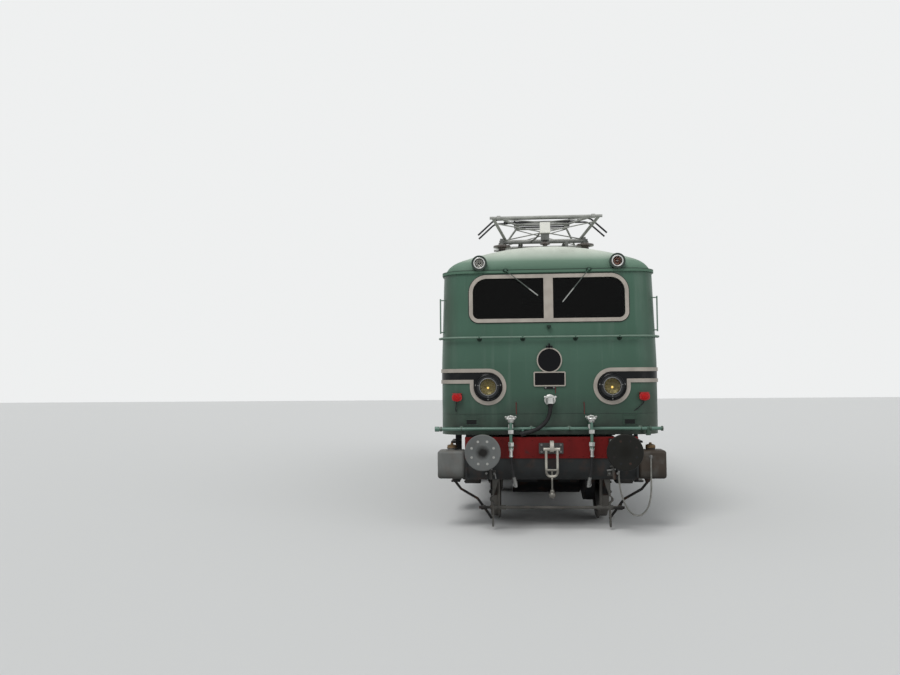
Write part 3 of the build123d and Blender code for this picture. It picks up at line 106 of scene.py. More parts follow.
class Surface:
    """A Principled material whose colour, roughness and bump are built up from masks."""

    def __init__(self, name, colour, rough=0.5, metal=0.0, **sockets):
        self.material = bpy.data.materials.new(name)
        self.material.use_nodes = True
        self.tree = self.material.node_tree
        self.shader = self.tree.nodes["Principled BSDF"]
        values = {"Base Color": (*colour, 1), "Roughness": rough, "Metallic": metal, **sockets}
        for socket, value in values.items():
            self.shader.inputs[socket.replace("_", " ")].default_value = value
        self.place = add_node(self.tree, "ShaderNodeTexCoord").outputs["Object"]
        self.axes = add_node(self.tree, "ShaderNodeSeparateXYZ", Vector=self.place).outputs

    def maths(self, operation, a, b=0.0):
        return maths(self.tree, operation, a, b)

    def times(self, first, *others):
        """The product of masks and numbers."""
        for other in others:
            first = self.maths("MULTIPLY", first, other)
        return first

    def along(self, axis):
        """The place along an axis, or, for a name such as |X|, how far it is from the middle."""
        place = self.axes[axis.strip("|")]
        return self.maths("ABSOLUTE", place) if axis[0] == "|" else place

    def ramp(self, value, low, high):
        """0 at low and 1 at high, held beyond them, of a value or along an axis."""
        if isinstance(value, str):
            value = self.along(value)
        node = add_node(self.tree, "ShaderNodeMapRange", Value=value, From_Min=low, From_Max=high)
        return node.outputs["Result"]

    def between(self, axis, low, high, soft=0.002):
        """1 between two places along an axis."""
        place = self.along(axis)
        return self.times(self.ramp(place, low - soft, low), self.ramp(place, high + soft, high))

    def radius(self, across, centre_z):
        """How far a place is from a disc's centre, given how far it is across."""
        up = self.maths("POWER", self.maths("SUBTRACT", self.along("Z"), centre_z), 2.0)
        return self.maths("SQRT", self.maths("ADD", self.maths("POWER", across, 2.0), up))

    def noise(self, scale, low=0.35, high=0.65, stretch=(1, 1, 1), detail=4.0):
        """A mask of soft patches, drawn out along the axes with a small stretch."""
        spread = add_node(self.tree, "ShaderNodeVectorMath", _0=self.place, _1=stretch)
        spread.operation = "MULTIPLY"
        node = add_node(self.tree, "ShaderNodeTexNoise", Vector=spread.outputs[0], Scale=scale, Detail=detail)
        return self.ramp(node.outputs["Fac"], low, high)

    def upward(self, low=0.3, high=0.95):
        """A mask of what faces up."""
        normal = add_node(self.tree, "ShaderNodeNewGeometry").outputs["Normal"]
        return self.ramp(add_node(self.tree, "ShaderNodeSeparateXYZ", Vector=normal).outputs["Z"], low, high)

    def mix(self, name, value, masks, kind="FLOAT", sockets=(2, 3, 0)):
        """Moves a socket of the shader from what it has to a value, where the masks are 1."""
        target = self.shader.inputs[name]
        now = target.links[0].from_socket if target.links else target.default_value
        node = add_node(self.tree, "ShaderNodeMix")
        node.data_type = kind
        under, over, result = sockets
        for socket, what in ((0, self.times(*masks)), (under, now), (over, value)):
            feed(node.inputs[socket], what)
        feed(target, node.outputs[result])
        return self

    def tint(self, colour, *masks):
        """Lays a colour over what is there."""
        return self.mix("Base Color", (*colour, 1), masks, "RGBA", (6, 7, 2))

    def change(self, name, value, *masks):
        """Moves a number such as the roughness to a value."""
        return self.mix(name, value, masks)

    def bump(self, height, distance, strength=0.5):
        """Raises the surface where the height is 1, on top of the bumps that it has."""
        normal = self.shader.inputs["Normal"]
        node = add_node(self.tree, "ShaderNodeBump", Height=height, Distance=distance, Strength=strength)
        if normal.links:
            feed(node.inputs["Normal"], normal.links[0].from_socket)
        feed(normal, node.outputs[0])
        return self

    def grain(self, scale, distance, strength, **shape):
        """Bumps of noise."""
        return self.bump(self.noise(scale, 0, 1, **shape), distance, strength)


GREEN = (0.035, 0.090, 0.058)
SILVER = (0.37, 0.335, 0.295)
NEAR_BLACK = (0.006, 0.007, 0.008)
PANE = (0.050, 0.060, 0.055)
DUST = (0.16, 0.15, 0.125)
RUST = (0.11, 0.045, 0.022)


def shade(colour, share, more=0.0):
    """A colour made darker or paler."""
    return tuple(c * share + more for c in colour)


def painted_green(name):
    """The body's green, with rain streaks, dust on ledges, road dirt near the bottom and painted shade that
    darkens it downwards.
    """
    skin = Surface(name, GREEN, 0.40, Coat_Weight=0.14, Coat_Roughness=0.22, Specular_IOR_Level=0.3)
    skin.tint((0.053, 0.118, 0.082), skin.noise(0.8, 0.35, 0.7))
    skin.tint((0.02, 0.035, 0.028), skin.noise(6.5, 0.5, 0.8, (1, 1, 0.07)), skin.noise(1.1), 0.35)
    # Painted shade: the green grows darker from high on the wall down to below the skirt.
    skin.tint((0.012, 0.024, 0.017), skin.ramp("Z", RAIL + 2.7, RAIL + 1.1), 0.55)
    skin.tint((0.13, 0.18, 0.145), skin.noise(9, 0.56, 0.86, (1, 1, 0.05)), 0.35)
    skin.tint(DUST, skin.ramp("Z", SKIRT_Z + 0.5, SKIRT_Z), skin.noise(3.5, 0.3, 0.75), 0.25)
    skin.tint(DUST, skin.upward(), skin.noise(7, 0.3, 0.7), 0.5)
    skin.change("Roughness", 0.62, skin.noise(4, 0.4, 0.75))
    skin.grain(1.3, 0.004, 0.35, detail=1)
    return skin.grain(160, 0.0003, 0.3, detail=2)


def body_green():
    """The body's paint, with the mouldings and the dark band where they stand proud on the doors."""
    skin = painted_green("body_green")
    proud = skin.ramp("|X|", BODY_X + 0.001, BODY_X + 0.002)
    for low, high, colour in ((BAND_LOW + MOULDING, BAND_HIGH - MOULDING, NEAR_BLACK),
                              (BAND_LOW - 0.02, BAND_LOW + MOULDING, SILVER),
                              (BAND_HIGH - MOULDING, BAND_HIGH + 0.02, SILVER)):
        skin.tint(colour, proud, skin.between("Z", low, high, 0.001))
    return skin.tint((0.30, 0.33, 0.27), skin.ramp("|X|", EAVES_X - 0.02, EAVES_X - 0.03))


def front_green():
    """The cab fronts: a seam low down, painted shade round it and below, and browned corners."""
    skin = painted_green("front_green")
    seam = skin.between("Z", RAIL + 1.503, RAIL + 1.507, 0.001)
    skin.tint((0.012, 0.02, 0.016), seam, 0.8)
    skin.bump(skin.maths("SUBTRACT", 1.0, seam), 0.004, 0.8)
    # Painted shade: the front darkens towards the bottom, fading out towards the corners.
    skin.tint((0.010, 0.014, 0.011), skin.ramp("Z", RAIL + 1.8, RAIL + 1.25), skin.ramp("|X|", 1.43, 1.26),
              skin.noise(5, 0.1, 0.7), 0.9)
    return skin.tint((0.035, 0.040, 0.028), skin.ramp("|X|", 1.20, 1.36), skin.ramp("|X|", 1.45, 1.40),
                     skin.noise(3, 0.35, 0.65, (1, 1, 0.3)), 0.5)


def roof_green():
    """The roof: dull green, paler and dustier towards the crown, where the paling is partly faded paint and
    partly painted light from above, with a painted shadow along the eaves.
    """
    skin = Surface("roof_green", (0.075, 0.145, 0.10), 0.6, Specular_IOR_Level=0.3)
    # Paler towards the crown: partly faded paint and dust, partly painted light from above.
    skin.tint((0.19, 0.285, 0.215), skin.ramp("Z", EAVES_Z + 0.01, EAVES_Z + 0.2), 0.9)
    high = skin.ramp("Z", EAVES_Z + 0.13, EAVES_Z + 0.30)
    skin.tint((0.66, 0.69, 0.61), high, 0.92)
    skin.tint((0.24, 0.25, 0.21), high, skin.noise(2.2, 0.42, 0.7), 0.55)
    skin.tint((0.09, 0.055, 0.035), high, skin.noise(5, 0.62, 0.8))
    # A painted shadow: a dark strip along the roof just above the eaves, by the gutter.
    skin.tint((0.012, 0.018, 0.014), skin.between("Z", EAVES_Z + 0.006, EAVES_Z + 0.018, 0.003), 0.8)
    skin.grain(1.6, 0.005, 0.4, detail=1)
    return skin.grain(90, 0.0005, 0.3)


def metal(name, colour, rough=0.35, metallic=0.9, dirt=0.35, **sockets):
    """Bare or painted metal, with dark patches and dust on what faces up."""
    skin = Surface(name, colour, rough, metallic, **sockets)
    skin.tint(shade(colour, 0.5), skin.noise(7, 0.4, 0.75), dirt)
    skin.tint(DUST, skin.upward(), skin.noise(12), dirt)
    skin.change("Roughness", min(1, rough + 0.3), skin.noise(9, 0.35, 0.7))
    return skin.grain(60, 0.0006, 0.3)


def dark_gear(name, colour, rough=0.6, rust=0.4, grease=0.4):
    """Painted running gear with rust, brake dust and grease."""
    skin = Surface(name, colour, rough, Specular_IOR_Level=0.14)
    skin.tint(shade(colour, 1.5, 0.005), skin.noise(3.3), 0.45)
    skin.tint(RUST, skin.noise(8, 0.52, 0.74), rust)
    skin.tint((0.012, 0.011, 0.010), skin.noise(5, 0.5, 0.7, (1, 1, 0.4)), grease)
    skin.tint(DUST, skin.upward(0.5, 1), skin.noise(9), 0.6)
    skin.change("Roughness", 0.35, skin.noise(6, 0.58, 0.72))
    return skin.grain(45, 0.0012, 0.4)


def bogie_paint():
    """The bogie frames: dark, with the red headstock between their ends."""
    skin = dark_gear("bogie_paint", (0.019, 0.0205, 0.021), rust=0.2)
    red = skin.times(skin.ramp("|Y|", HEADSTOCK_Y - 0.075, HEADSTOCK_Y - 0.07),
                     skin.ramp("Z", HEADSTOCK_Z[0] - 0.002, HEADSTOCK_Z[0]))
    skin.tint((0.125, 0.0065, 0.006), red, skin.ramp(skin.noise(5, 0.62, 0.8), 1, 0.2))
    return skin.tint((0.045, 0.004, 0.0035), red, skin.noise(4, 0.45, 0.75, (1, 1, 0.25)))


def buffer_paint():
    """The buffers: grey, greasy in the middle of the heads, the right one much darker with painted shade."""
    skin = dark_gear("buffer_paint", (0.105, 0.11, 0.108), 0.5, rust=0.12, grease=0.2)
    away = skin.radius(skin.maths("SUBTRACT", skin.along("|X|"), BUFFER_X), BUFFER_Z)
    blurred = skin.maths("ADD", away, skin.times(skin.noise(14, 0, 1), 0.05))
    skin.tint((0.006, 0.005, 0.004), skin.ramp(blurred, 0.125, 0.065), 0.95)
    # Painted shade: the right buffer, on the shaded side, is darkened in patches, which are also made less
    # rough.
    dark = skin.times(skin.ramp("X", 0.0, 0.1), skin.noise(3, 0.0, 0.35))
    skin.tint((0.007, 0.0065, 0.005), dark, 0.96)
    return skin.change("Roughness", 0.42, dark)


def sandbox_paint():
    """The sandboxes: light grey on the left, browned and darker on the right with some painted shade, and
    darker at the bottom with painted shade.
    """
    skin = dark_gear("sandbox_grey", (0.13, 0.133, 0.127), 0.5, rust=0.15, grease=0.25)
    # Browned on the right: partly brown dirt, partly painted shade, as that side lies in shade.
    skin.tint((0.038, 0.027, 0.019), skin.ramp("X", 0.0, 0.1), skin.noise(5, 0.0, 0.5), 0.9)
    # Painted shade: darker towards the bottom, where the box curves under.
    return skin.tint((0.012, 0.011, 0.009), skin.ramp("Z", RAIL + 0.80, RAIL + 0.66), 0.75)


def plaque_metal():
    """The bare plaques: silver rims round black fields."""
    skin = metal("plaque_silver", SILVER, 0.42, 0.55, Specular_IOR_Level=0.1)
    field = skin.between("|Y|", FRONT_Y + 0.0125, FRONT_Y + 0.0155, 0.0003)
    skin.tint((0.005, 0.005, 0.006), field)
    skin.change("Metallic", 0.0, field)
    return skin.change("Roughness", 0.45, field)


def draw_metal():
    """The coupling: worn steel, dark at the plate, the knuckles and the weight."""
    skin = metal("draw_steel", (0.42, 0.40, 0.35), 0.38, 0.6, dirt=0.6)
    plate = skin.times(skin.ramp("|Y|", HEADSTOCK_Y + 0.125, HEADSTOCK_Y + 0.10), skin.noise(6, 0.0, 0.4))
    skin.tint((0.030, 0.028, 0.026), plate)
    skin.change("Metallic", 0.0, plate)
    skin.tint((0.06, 0.055, 0.048), skin.ramp("Z", RAIL + 0.83, RAIL + 0.79),
              skin.ramp("Z", RAIL + 0.72, RAIL + 0.74), 0.7)
    return skin.tint((0.075, 0.072, 0.065), skin.ramp("Z", RAIL + 0.70, RAIL + 0.66), 0.8)


def wiper_metal():
    """The wipers: bare blades on dull arms, green at the spindles."""
    skin = metal("wiper_metal", (0.34, 0.35, 0.33), 0.35, 0.6)
    skin.tint((0.085, 0.10, 0.09), skin.ramp("Z", RAIL + 3.17, RAIL + 3.19))
    root = skin.ramp("Z", RAIL + 3.385, RAIL + 3.395)
    skin.tint(GREEN, root)
    return skin.change("Metallic", 0.0, root)


def glass(name, tint, rough=0.03, weight=1.0, smear=0.15):
    """Clear or tinted glass with smears."""
    skin = Surface(name, tint, rough, Transmission_Weight=weight, IOR=1.2)
    return skin.change("Roughness", smear, skin.noise(6, 0.55, 0.85))


def pane_glass():
    """Dark window glass, with the clear lenses of the lamps below and above the windows."""
    skin = glass("window_glass", PANE, smear=0.12)
    skin.tint((0.90, 0.88, 0.72), skin.ramp("Z", RAIL + 2.25, RAIL + 2.2))
    return skin.tint((0.95, 0.96, 0.94), skin.ramp("Z", RAIL + 3.40, RAIL + 3.42))


def roof_gear():
    """Gear on the roof: dull frames, and pale boxes in the middle."""
    skin = metal("roof_gear", (0.15, 0.155, 0.145), 0.5, 0.3, dirt=0.6)
    box = skin.times(skin.ramp("|X|", 0.10, 0.095), skin.ramp("|Y|", 4.6, 4.65),
                     skin.ramp("Z", RAIL + 4.05, RAIL + 4.06))
    skin.tint((0.80, 0.79, 0.73), box)
    return skin.change("Metallic", 0.0, box)


def brake_iron():
    """Brake gear, rail guards and the guard bar, paler out at the ends with a painted highlight."""
    skin = dark_gear("gear_iron", (0.017, 0.0165, 0.016), rust=0.5)
    # Painted highlight: the guard irons and bar are paler out at the ends.
    return skin.tint((0.085, 0.082, 0.074), skin.ramp("|Y|", 5.60, 5.62), skin.ramp("|X|", 0.82, 0.78),
                     skin.noise(4, 0.1, 0.6))


def wheel_steel():
    """Wheels: worn tyres, dull faces with oil thrown out from the axle."""
    skin = dark_gear("wheel_steel", (0.026, 0.024, 0.023), 0.55, rust=0.45)
    off = skin.maths("ABSOLUTE", skin.maths("SUBTRACT", skin.along("|Y|"), PIVOT_Y))
    away = skin.radius(skin.maths("SUBTRACT", off, WHEELBASE_HALF), AXLE_Z)
    skin.tint((0.075, 0.069, 0.062), skin.ramp(away, 0.54, 0.555), 0.85)
    skin.tint((0.14, 0.132, 0.12), skin.ramp(away, 0.613, 0.618), 0.9)
    grease = skin.maths("ADD", away, skin.times(skin.noise(9, 0, 1), 0.12))
    return skin.tint((0.007, 0.006, 0.005), skin.ramp(grease, 0.42, 0.22), 0.8)


def rubber(name, colour=(0.010, 0.010, 0.0105)):
    skin = Surface(name, colour, 0.62, Specular_IOR_Level=0.25)
    skin.tint(shade(colour, 2.4), skin.noise(20, 0.45, 0.8), 0.6)
    return skin.grain(120, 0.0005, 0.4)


def lamp_metal():
    """Lamp housings: black headlamps and markers, red tail lamps."""
    skin = Surface("lamp_metal", (0.007, 0.009, 0.010), 0.22, Coat_Weight=0.2, Specular_IOR_Level=0.3)
    skin.tint((0.016, 0.030, 0.022), skin.ramp("Z", EAVES_Z - 0.1, EAVES_Z - 0.05))
    skin.tint((0.42, 0.008, 0.012), skin.between("|X|", 1.16, 1.32),
              skin.between("Z", RAIL + 1.67, RAIL + 1.8))
    return skin.change("Roughness", 0.34, skin.noise(30))


def interior_paint(name, colour):
    skin = Surface(name, colour, 0.55)
    skin.tint(shade(colour, 0.6), skin.noise(3), 0.5)
    return skin.grain(70, 0.0006, 0.3)


def band_black():
    skin = Surface("band_black", NEAR_BLACK, 0.3, Coat_Weight=0.08, Specular_IOR_Level=0.12)
    return skin.tint(DUST, skin.noise(6, 0.5, 0.8), 0.08)


def porcelain():
    skin = Surface("porcelain", (0.085, 0.070, 0.060), 0.22, Coat_Weight=0.3)
    return skin.tint((0.50, 0.48, 0.44), skin.upward(), 0.75)


def fabric():
    skin = Surface("seat_cloth", (0.045, 0.035, 0.028), 0.7, Sheen_Weight=0.15)
    skin.tint((0.09, 0.075, 0.06), skin.noise(9, 0.45, 0.75), 0.5)
    return skin.grain(300, 0.0004, 0.5)


MATERIALS = {
    "body": body_green(),
    "front": front_green(),
    "roof": roof_green(),
    "green": painted_green("fitting_green"),
    "silver": metal("silver_trim", SILVER, 0.42, 0.55),
    "bright": metal("bright_metal", (0.55, 0.55, 0.53), 0.3, 0.85),
    "steel": metal("worn_steel", (0.20, 0.20, 0.195), 0.42, 0.8, dirt=0.5),
    "rail": metal("rail_paint", (0.13, 0.20, 0.155), 0.42, 0.15),
    "brass": metal("brass", (0.20, 0.125, 0.06), 0.4, 0.8, dirt=0.6),
    "louvre": metal("louvre_metal", (0.085, 0.15, 0.11), 0.5, 0.15),
    "black": band_black(),
    "lamp": lamp_metal(),
    "panes": pane_glass(),
    "glass": glass("door_glass", PANE),
    "bowl": Surface("lamp_reflector", (0.135, 0.115, 0.062), 0.42, 0.35),
    "marker_bowl": Surface("marker_reflector", (0.36, 0.35, 0.33), 0.45, 0.2),
    "dull_bowl": Surface("dull_reflector", (0.16, 0.07, 0.05), 0.45, 0.2),
    "dark_green": Surface("dark_green_paint", (0.012, 0.026, 0.018), 0.45, Specular_IOR_Level=0.2),
    "red_glass": glass("red_glass", (0.55, 0.02, 0.02), 0.08, 0.4, smear=0.2),
    # The headlamp bulbs glow faintly: a painted highlight for the bright spot on each bulb.
    "bulb": Surface("bulb_painted_highlight", (0.95, 0.72, 0.25), 0.2, Emission_Color=(1, 0.65, 0.2, 1),
                    Emission_Strength=0.9),
    "rubber": rubber("hose_rubber"),
    "pale_cable": rubber("cable_sheath", (0.15, 0.148, 0.135)),
    "pipe": Surface("pipe_green", (0.070, 0.145, 0.110), 0.32, Coat_Weight=0.2),
    "cab": interior_paint("cab_paint", (0.24, 0.27, 0.22)),
    "machine": interior_paint("machine_paint", (0.22, 0.24, 0.23)),
    "cloth": fabric(),
    "under": dark_gear("underframe_paint", (0.012, 0.0125, 0.0135)),
    "gear": brake_iron(),
    "roof_gear": roof_gear(),
    "bogie": bogie_paint(),
    "buffer": buffer_paint(),
    "box": sandbox_paint(),
    "plaque": plaque_metal(),
    "wiper": wiper_metal(),
    "wheel": wheel_steel(),
    "spring": dark_gear("spring_steel", (0.055, 0.054, 0.052), 0.5, rust=0.3),
    "axlebox": dark_gear("axlebox_iron", (0.040, 0.0385, 0.036), 0.5, rust=0.35, grease=0.6),
    "draw": draw_metal(),
    "rivet": metal("rivet_steel", (0.34, 0.34, 0.32), 0.4, 0.6),
    "arm": metal("arm_paint", (0.36, 0.365, 0.34), 0.5, 0.25, dirt=0.6),
    "carbon": Surface("carbon", (0.02, 0.02, 0.022), 0.5, 0.3).grain(60, 0.001, 0.4, stretch=(0.1, 1, 1)),
    "porcelain": porcelain(),
    "red_rod": Surface("red_paint", (0.11, 0.007, 0.008), 0.4, Specular_IOR_Level=0.3),
    "tail_red": Surface("tail_lamp_red", (0.27, 0.010, 0.012), 0.4, Specular_IOR_Level=0.3),
    "filter": Surface("filter_mesh", (0.010, 0.011, 0.011), 0.8, Specular_IOR_Level=0.2),
    "desk": Surface("desk_grey", (0.12, 0.13, 0.13), 0.45),
    "dial": Surface("dial_face", (0.62, 0.62, 0.58), 0.4),
    "board": dark_gear("walkway_board", (0.13, 0.115, 0.09), 0.75, rust=0.2, grease=0.3),
}

# The material of each node of the model, by its name without its end, or by its first or last word.
NODE_MATERIALS = {name: material for material, names in {
    "under": "underframe underfloor_boxes motors", "body": "side_walls door", "front": "cab_fronts",
    "roof": "roof roof_hatches", "silver": "bright_trim", "panes": "glazing", "louvre": "side_louvres",
    "black": "waist_band", "lamp": "lamps", "wiper": "wipers", "rail": "handrails", "pipe": "end_pipes",
    "plaque": "blank_plaques", "cab": "cab_fittings", "machine": "machine_block",
    "roof_gear": "roof_electrics", "steel": "hose_couplings", "bogie": "bogie_frame",
    "axlebox": "axleboxes", "spring": "springs",
    "gear": "brake_gear", "buffer": "buffers", "draw": "drawgear", "box": "sandboxes", "wheel": "wheelset",
    "arm": "arm", "carbon": "panto_head",
}.items() for name in names.split()}


def dress_nodes():
    """Gives every node of the model its material."""
    for name, node in nodes.items():
        plain = name.removeprefix("front_").removeprefix("rear_")
        words = plain.split("_")
        chosen = [NODE_MATERIALS[key] for key in (plain, words[0], words[-1]) if key in NODE_MATERIALS]
        node.data.materials.clear()
        node.data.materials.append(MATERIALS[chosen[0] if chosen else "rubber"].material)


def add_object(name, data):
    made = bpy.data.objects.new(name, data)
    scene.collection.objects.link(made)
    return made


# Camera, light and floor

CAMERA_PLACE = (-0.515, -16.80, RAIL + 1.989)
CAMERA_YAW = radians(4.18)
CAMERA_PITCH = radians(2.82)
CAMERA_ROLL = -0.0084
FOCAL_PX = 826.3
PHOTO_W = 900
SENSOR_MM = 36


def make_camera():
    """The photograph's view, looking a little left of +Y and up."""
    data = bpy.data.cameras.new("photo_camera")
    data.sensor_fit = "HORIZONTAL"
    data.sensor_width = SENSOR_MM
    data.lens = FOCAL_PX / PHOTO_W * SENSOR_MM
    data.clip_end = 200
    scene.camera = add_object("photo_camera", data)
    turn = Matrix.Rotation(CAMERA_YAW, 4, "Z") @ Matrix.Rotation(pi / 2 + CAMERA_PITCH, 4, "X")
    scene.camera.matrix_world = Matrix.Translation(CAMERA_PLACE) @ turn @ Matrix.Rotation(CAMERA_ROLL, 4, "Z")


def sun(name, strength, direction, spread):
    data = bpy.data.lights.new(name, "SUN")
    data.energy = strength
    data.angle = radians(spread)
    add_object(name, data).rotation_euler = Vector(direction).to_track_quat("-Z", "Y").to_euler()


def make_studio():
    """A pale floor and world, a soft key from above the front and a weak fill."""
    scene.world = bpy.data.worlds.new("studio")
    scene.world.use_nodes = True
    tree = scene.world.node_tree
    tree.nodes.clear()
    rays = add_node(tree, "ShaderNodeLightPath").outputs
    bent = maths(tree, "MAXIMUM", rays["Is Glossy Ray"], rays["Is Transmission Ray"])
    seen = maths(tree, "MAXIMUM", rays["Is Camera Ray"], bent)
    light = add_node(tree, "ShaderNodeBackground", Color=(0.93, 0.97, 1, 1), Strength=0.5)
    back = add_node(tree, "ShaderNodeBackground", Color=(0.86, 0.87, 0.87, 1), Strength=1)
    mix = add_node(tree, "ShaderNodeMixShader", _0=seen, _1=light.outputs[0], _2=back.outputs[0])
    add_node(tree, "ShaderNodeOutputWorld", _0=mix.outputs[0])
    sun("key", 1.7, (0.35, 0.75, -1.15), 28)
    sun("fill", 0.45, (-0.9, 0.8, -0.5), 50)
    bpy.ops.mesh.primitive_plane_add(size=120)
    floor = bpy.context.object
    floor.name = "studio_floor"
    floor.data.materials.append(Surface("floor", (0.62, 0.62, 0.61), 0.8).grain(3, 0.002, 0.1).material)
    scene.view_settings.view_transform = "Standard"


# Mesh building

def around(count, start=0.0):
    """The cosines and sines of as many evenly spaced angles, the first at a share of a step."""
    return [(cos(tau * (k + start) / count), sin(tau * (k + start) / count)) for k in range(count)]


def corners(across, up):
    """The four corners of an oblong about its middle."""
    return [(x * across, z * up) for x in WAYS for z in WAYS]


class Piece:
    """One joined mesh, gathered from simple shapes. At an end, its places count y outwards."""

    def __init__(self, end=None):
        self.bm = bmesh.new()
        self.s = ENDS.get(end, 1)
        self.prefix = f"{end}_" if end else ""

    def at(self, place):
        """A place or a direction at the piece's own end."""
        x, y, z = place
        return Vector((x, self.s * y, z))

    def put(self, verts, origin, axis, scale=(1, 1, 1)):
        """Moves what was made about +Z."""
        turn = UP.rotation_difference(axis).to_matrix().to_4x4()
        matrix = Matrix.Translation(origin) @ turn @ Matrix.Diagonal((*scale, 1))
        bmesh.ops.transform(self.bm, matrix=matrix, verts=verts)

    def skin(self, rows, closed=False):
        """Faces between rows of places, each row a ring, and over the two ends unless it is closed."""
        rows = [[self.bm.verts.new(place) for place in row] for row in rows]
        for here, there in zip(rows, rows[1:] + rows[:1] if closed else rows[1:]):
            for k in range(len(here)):
                self.bm.faces.new((here[k - 1], here[k], there[k], there[k - 1]))
        if not closed:
            self.bm.faces.new(reversed(rows[0]))
            self.bm.faces.new(rows[-1])
        return [vert for row in rows for vert in row]

    def rod(self, start, end, radius, end_radius=None, sides=16):
        """A bar or a cone between two points."""
        start, end = self.at(start), self.at(end)
        made = bmesh.ops.create_cone(self.bm, cap_ends=True, segments=sides, radius1=radius,
                                     radius2=radius if end_radius is None else end_radius,
                                     depth=(end - start).length)
        self.put(made["verts"], (start + end) / 2, end - start)

    def post(self, x, y, low, high, radius, end_radius=None, sides=16):
        """An upright bar."""
        self.rod((x, y, low), (x, y, high), radius, end_radius, sides)

    def pin(self, middle, half, radius, axis=ACROSS, sides=16):
        """A bar that reaches as far both ways."""
        middle = Vector(middle)
        self.rod(middle - axis * half, middle + axis * half, radius, sides=sides)

    def block(self, low, high):
        """A box between two opposite corners."""
        low, high = self.at(low), self.at(high)
        made = bmesh.ops.create_cube(self.bm, size=1)
        self.put(made["verts"], (low + high) / 2, UP, [abs(b - a) for a, b in zip(low, high)])

    def ball(self, centre, radius, squeeze=(1, 1, 1)):
        made = bmesh.ops.create_uvsphere(self.bm, u_segments=16, v_segments=10, radius=radius)
        self.put(made["verts"], self.at(centre), UP, squeeze)

    def lathe(self, outline, origin, axis=OUT, steps=32):
        """Turns an outline of (radius, height) pairs about an axis."""
        rows = [[(radius * c, radius * q, height) for c, q in around(steps)] for radius, height in outline]
        self.put(self.skin(rows), self.at(origin), self.at(axis))

    def ring(self, origin, radius, thickness, axis=OUT, steps=40, sides=10):
        """A torus round an axis."""
        outline = [(radius + thickness * c, thickness * q) for c, q in around(sides)]
        rows = [[(far * c, far * q, height) for far, height in outline] for c, q in around(steps)]
        self.put(self.skin(rows, closed=True), self.at(origin), self.at(axis))

    def tube(self, points, radius, sides=8):
        """A bar that follows points, each corner mitred."""
        self.sweep([self.at(point) for point in points], radius, sides)

    def coil(self, start, end, radius, turns, wire, sides, steps=16):
        """A wire wound about the line between two points."""
        start, end = self.at(start), self.at(end)
        run = end - start
        side = run.orthogonal().normalized()
        other = run.normalized().cross(side)
        count = turns * steps
        turned = [(side * c + other * q) * radius for c, q in around(steps)]
        self.sweep([start + run * k / count + turned[k % steps] for k in range(count + 1)], wire, sides)

    def sweep(self, points, radius, sides):
        rows = []
        side = None
        for i, point in enumerate(points):
            before = (point - points[i - 1]).normalized() if i else None
            after = (points[i + 1] - point).normalized() if i < len(points) - 1 else None
            run = ((before or after) + (after or before)).normalized()
            side = side or run.orthogonal()
            side = (side - run * side.dot(run)).normalized()
            other = run.cross(side)
            reach = radius / max(0.5, run.dot(after or before))
            rows.append([point + (side * c + other * q) * reach for c, q in around(sides)])
        self.skin(rows)

    def loop(self, points, radius, sides=8):
        """A round strip along a closed outline."""
        points = [self.at(point) for point in points]
        middle = sum(points, Vector()) / len(points)
        rows = []
        for i, point in enumerate(points):
            run = (points[(i + 1) % len(points)] - points[i - 1]).normalized()
            away = (point - middle).normalized()
            away = (away - run * away.dot(run)).normalized()
            other = run.cross(away)
            rows.append([point + (away * c + other * q) * radius for c, q in around(sides)])
        self.skin(rows, closed=True)

    def panel(self, outline, x, y, outer, inner):
        """A plate along a side wall, between two distances out of it."""
        self.skin([on_wall(outline, x, y, outer), on_wall(outline, x, y, inner)])

    def bolt(self, place, size, axis=OUT):
        """A hexagon head on a washer."""
        place = Vector(place)
        self.rod(place, place + axis * size * 0.25, size * 1.25, sides=12)
        self.rod(place, place + axis * size * 0.95, size, size * 0.92, sides=6)

    def rivet(self, place, size, axis=OUT):
        dome = ((1, 0), (0.85, 0.35), (0.45, 0.6), (0.01, 0.65))
        self.lathe([(share * size, height * size) for share, height in dome], place, axis, 8)

    def done(self, name, material, slot, body="body", bevel=0.0, crease=40):
        """Closes the piece: its object, its material and the body that it rides on."""
        bmesh.ops.recalc_face_normals(self.bm, faces=self.bm.faces)
        mesh = bpy.data.meshes.new(self.prefix + name)
        self.bm.to_mesh(mesh)
        self.bm.free()
        for face in mesh.polygons:
            face.use_smooth = True
        mesh.set_sharp_from_angle(angle=radians(crease))
        mesh.materials.append(MATERIALS[material].material)
        made = add_object(self.prefix + name, mesh)
        if bevel:
            edge = made.modifiers.new("edge", "BEVEL")
            edge.width = bevel
            edge.segments = 2
            edge.limit_method = "ANGLE"
        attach(made, body if body == "body" else self.prefix + body)
        return made


def pieces(count, end=None):
    return [Piece(end) for _ in range(count)]


def leaned(z, foot, eaves):
    """How far out a wall that leans in above the waist stands at a height."""
    return foot - (foot - eaves) / (EAVES_Z - WAIST_Z) * max(0.0, z - WAIST_Z)


def wall_y(z, off=0.0):
    return leaned(z, FRONT_Y, EAVES_Y) + off


def wall_x(z, off=0.0):
    return leaned(z, BODY_X, EAVES_X) + off


def on_wall(points, x, y, off):
    """Outline points laid on a side wall, off metres out of it."""
    return [(x * wall_x(z, off), y + u, z) for u, z in points]


def oblong(half, low, high):
    """An upright oblong as (along, up) pairs."""
    return [(-half, low), (half, low), (half, high), (-half, high)]


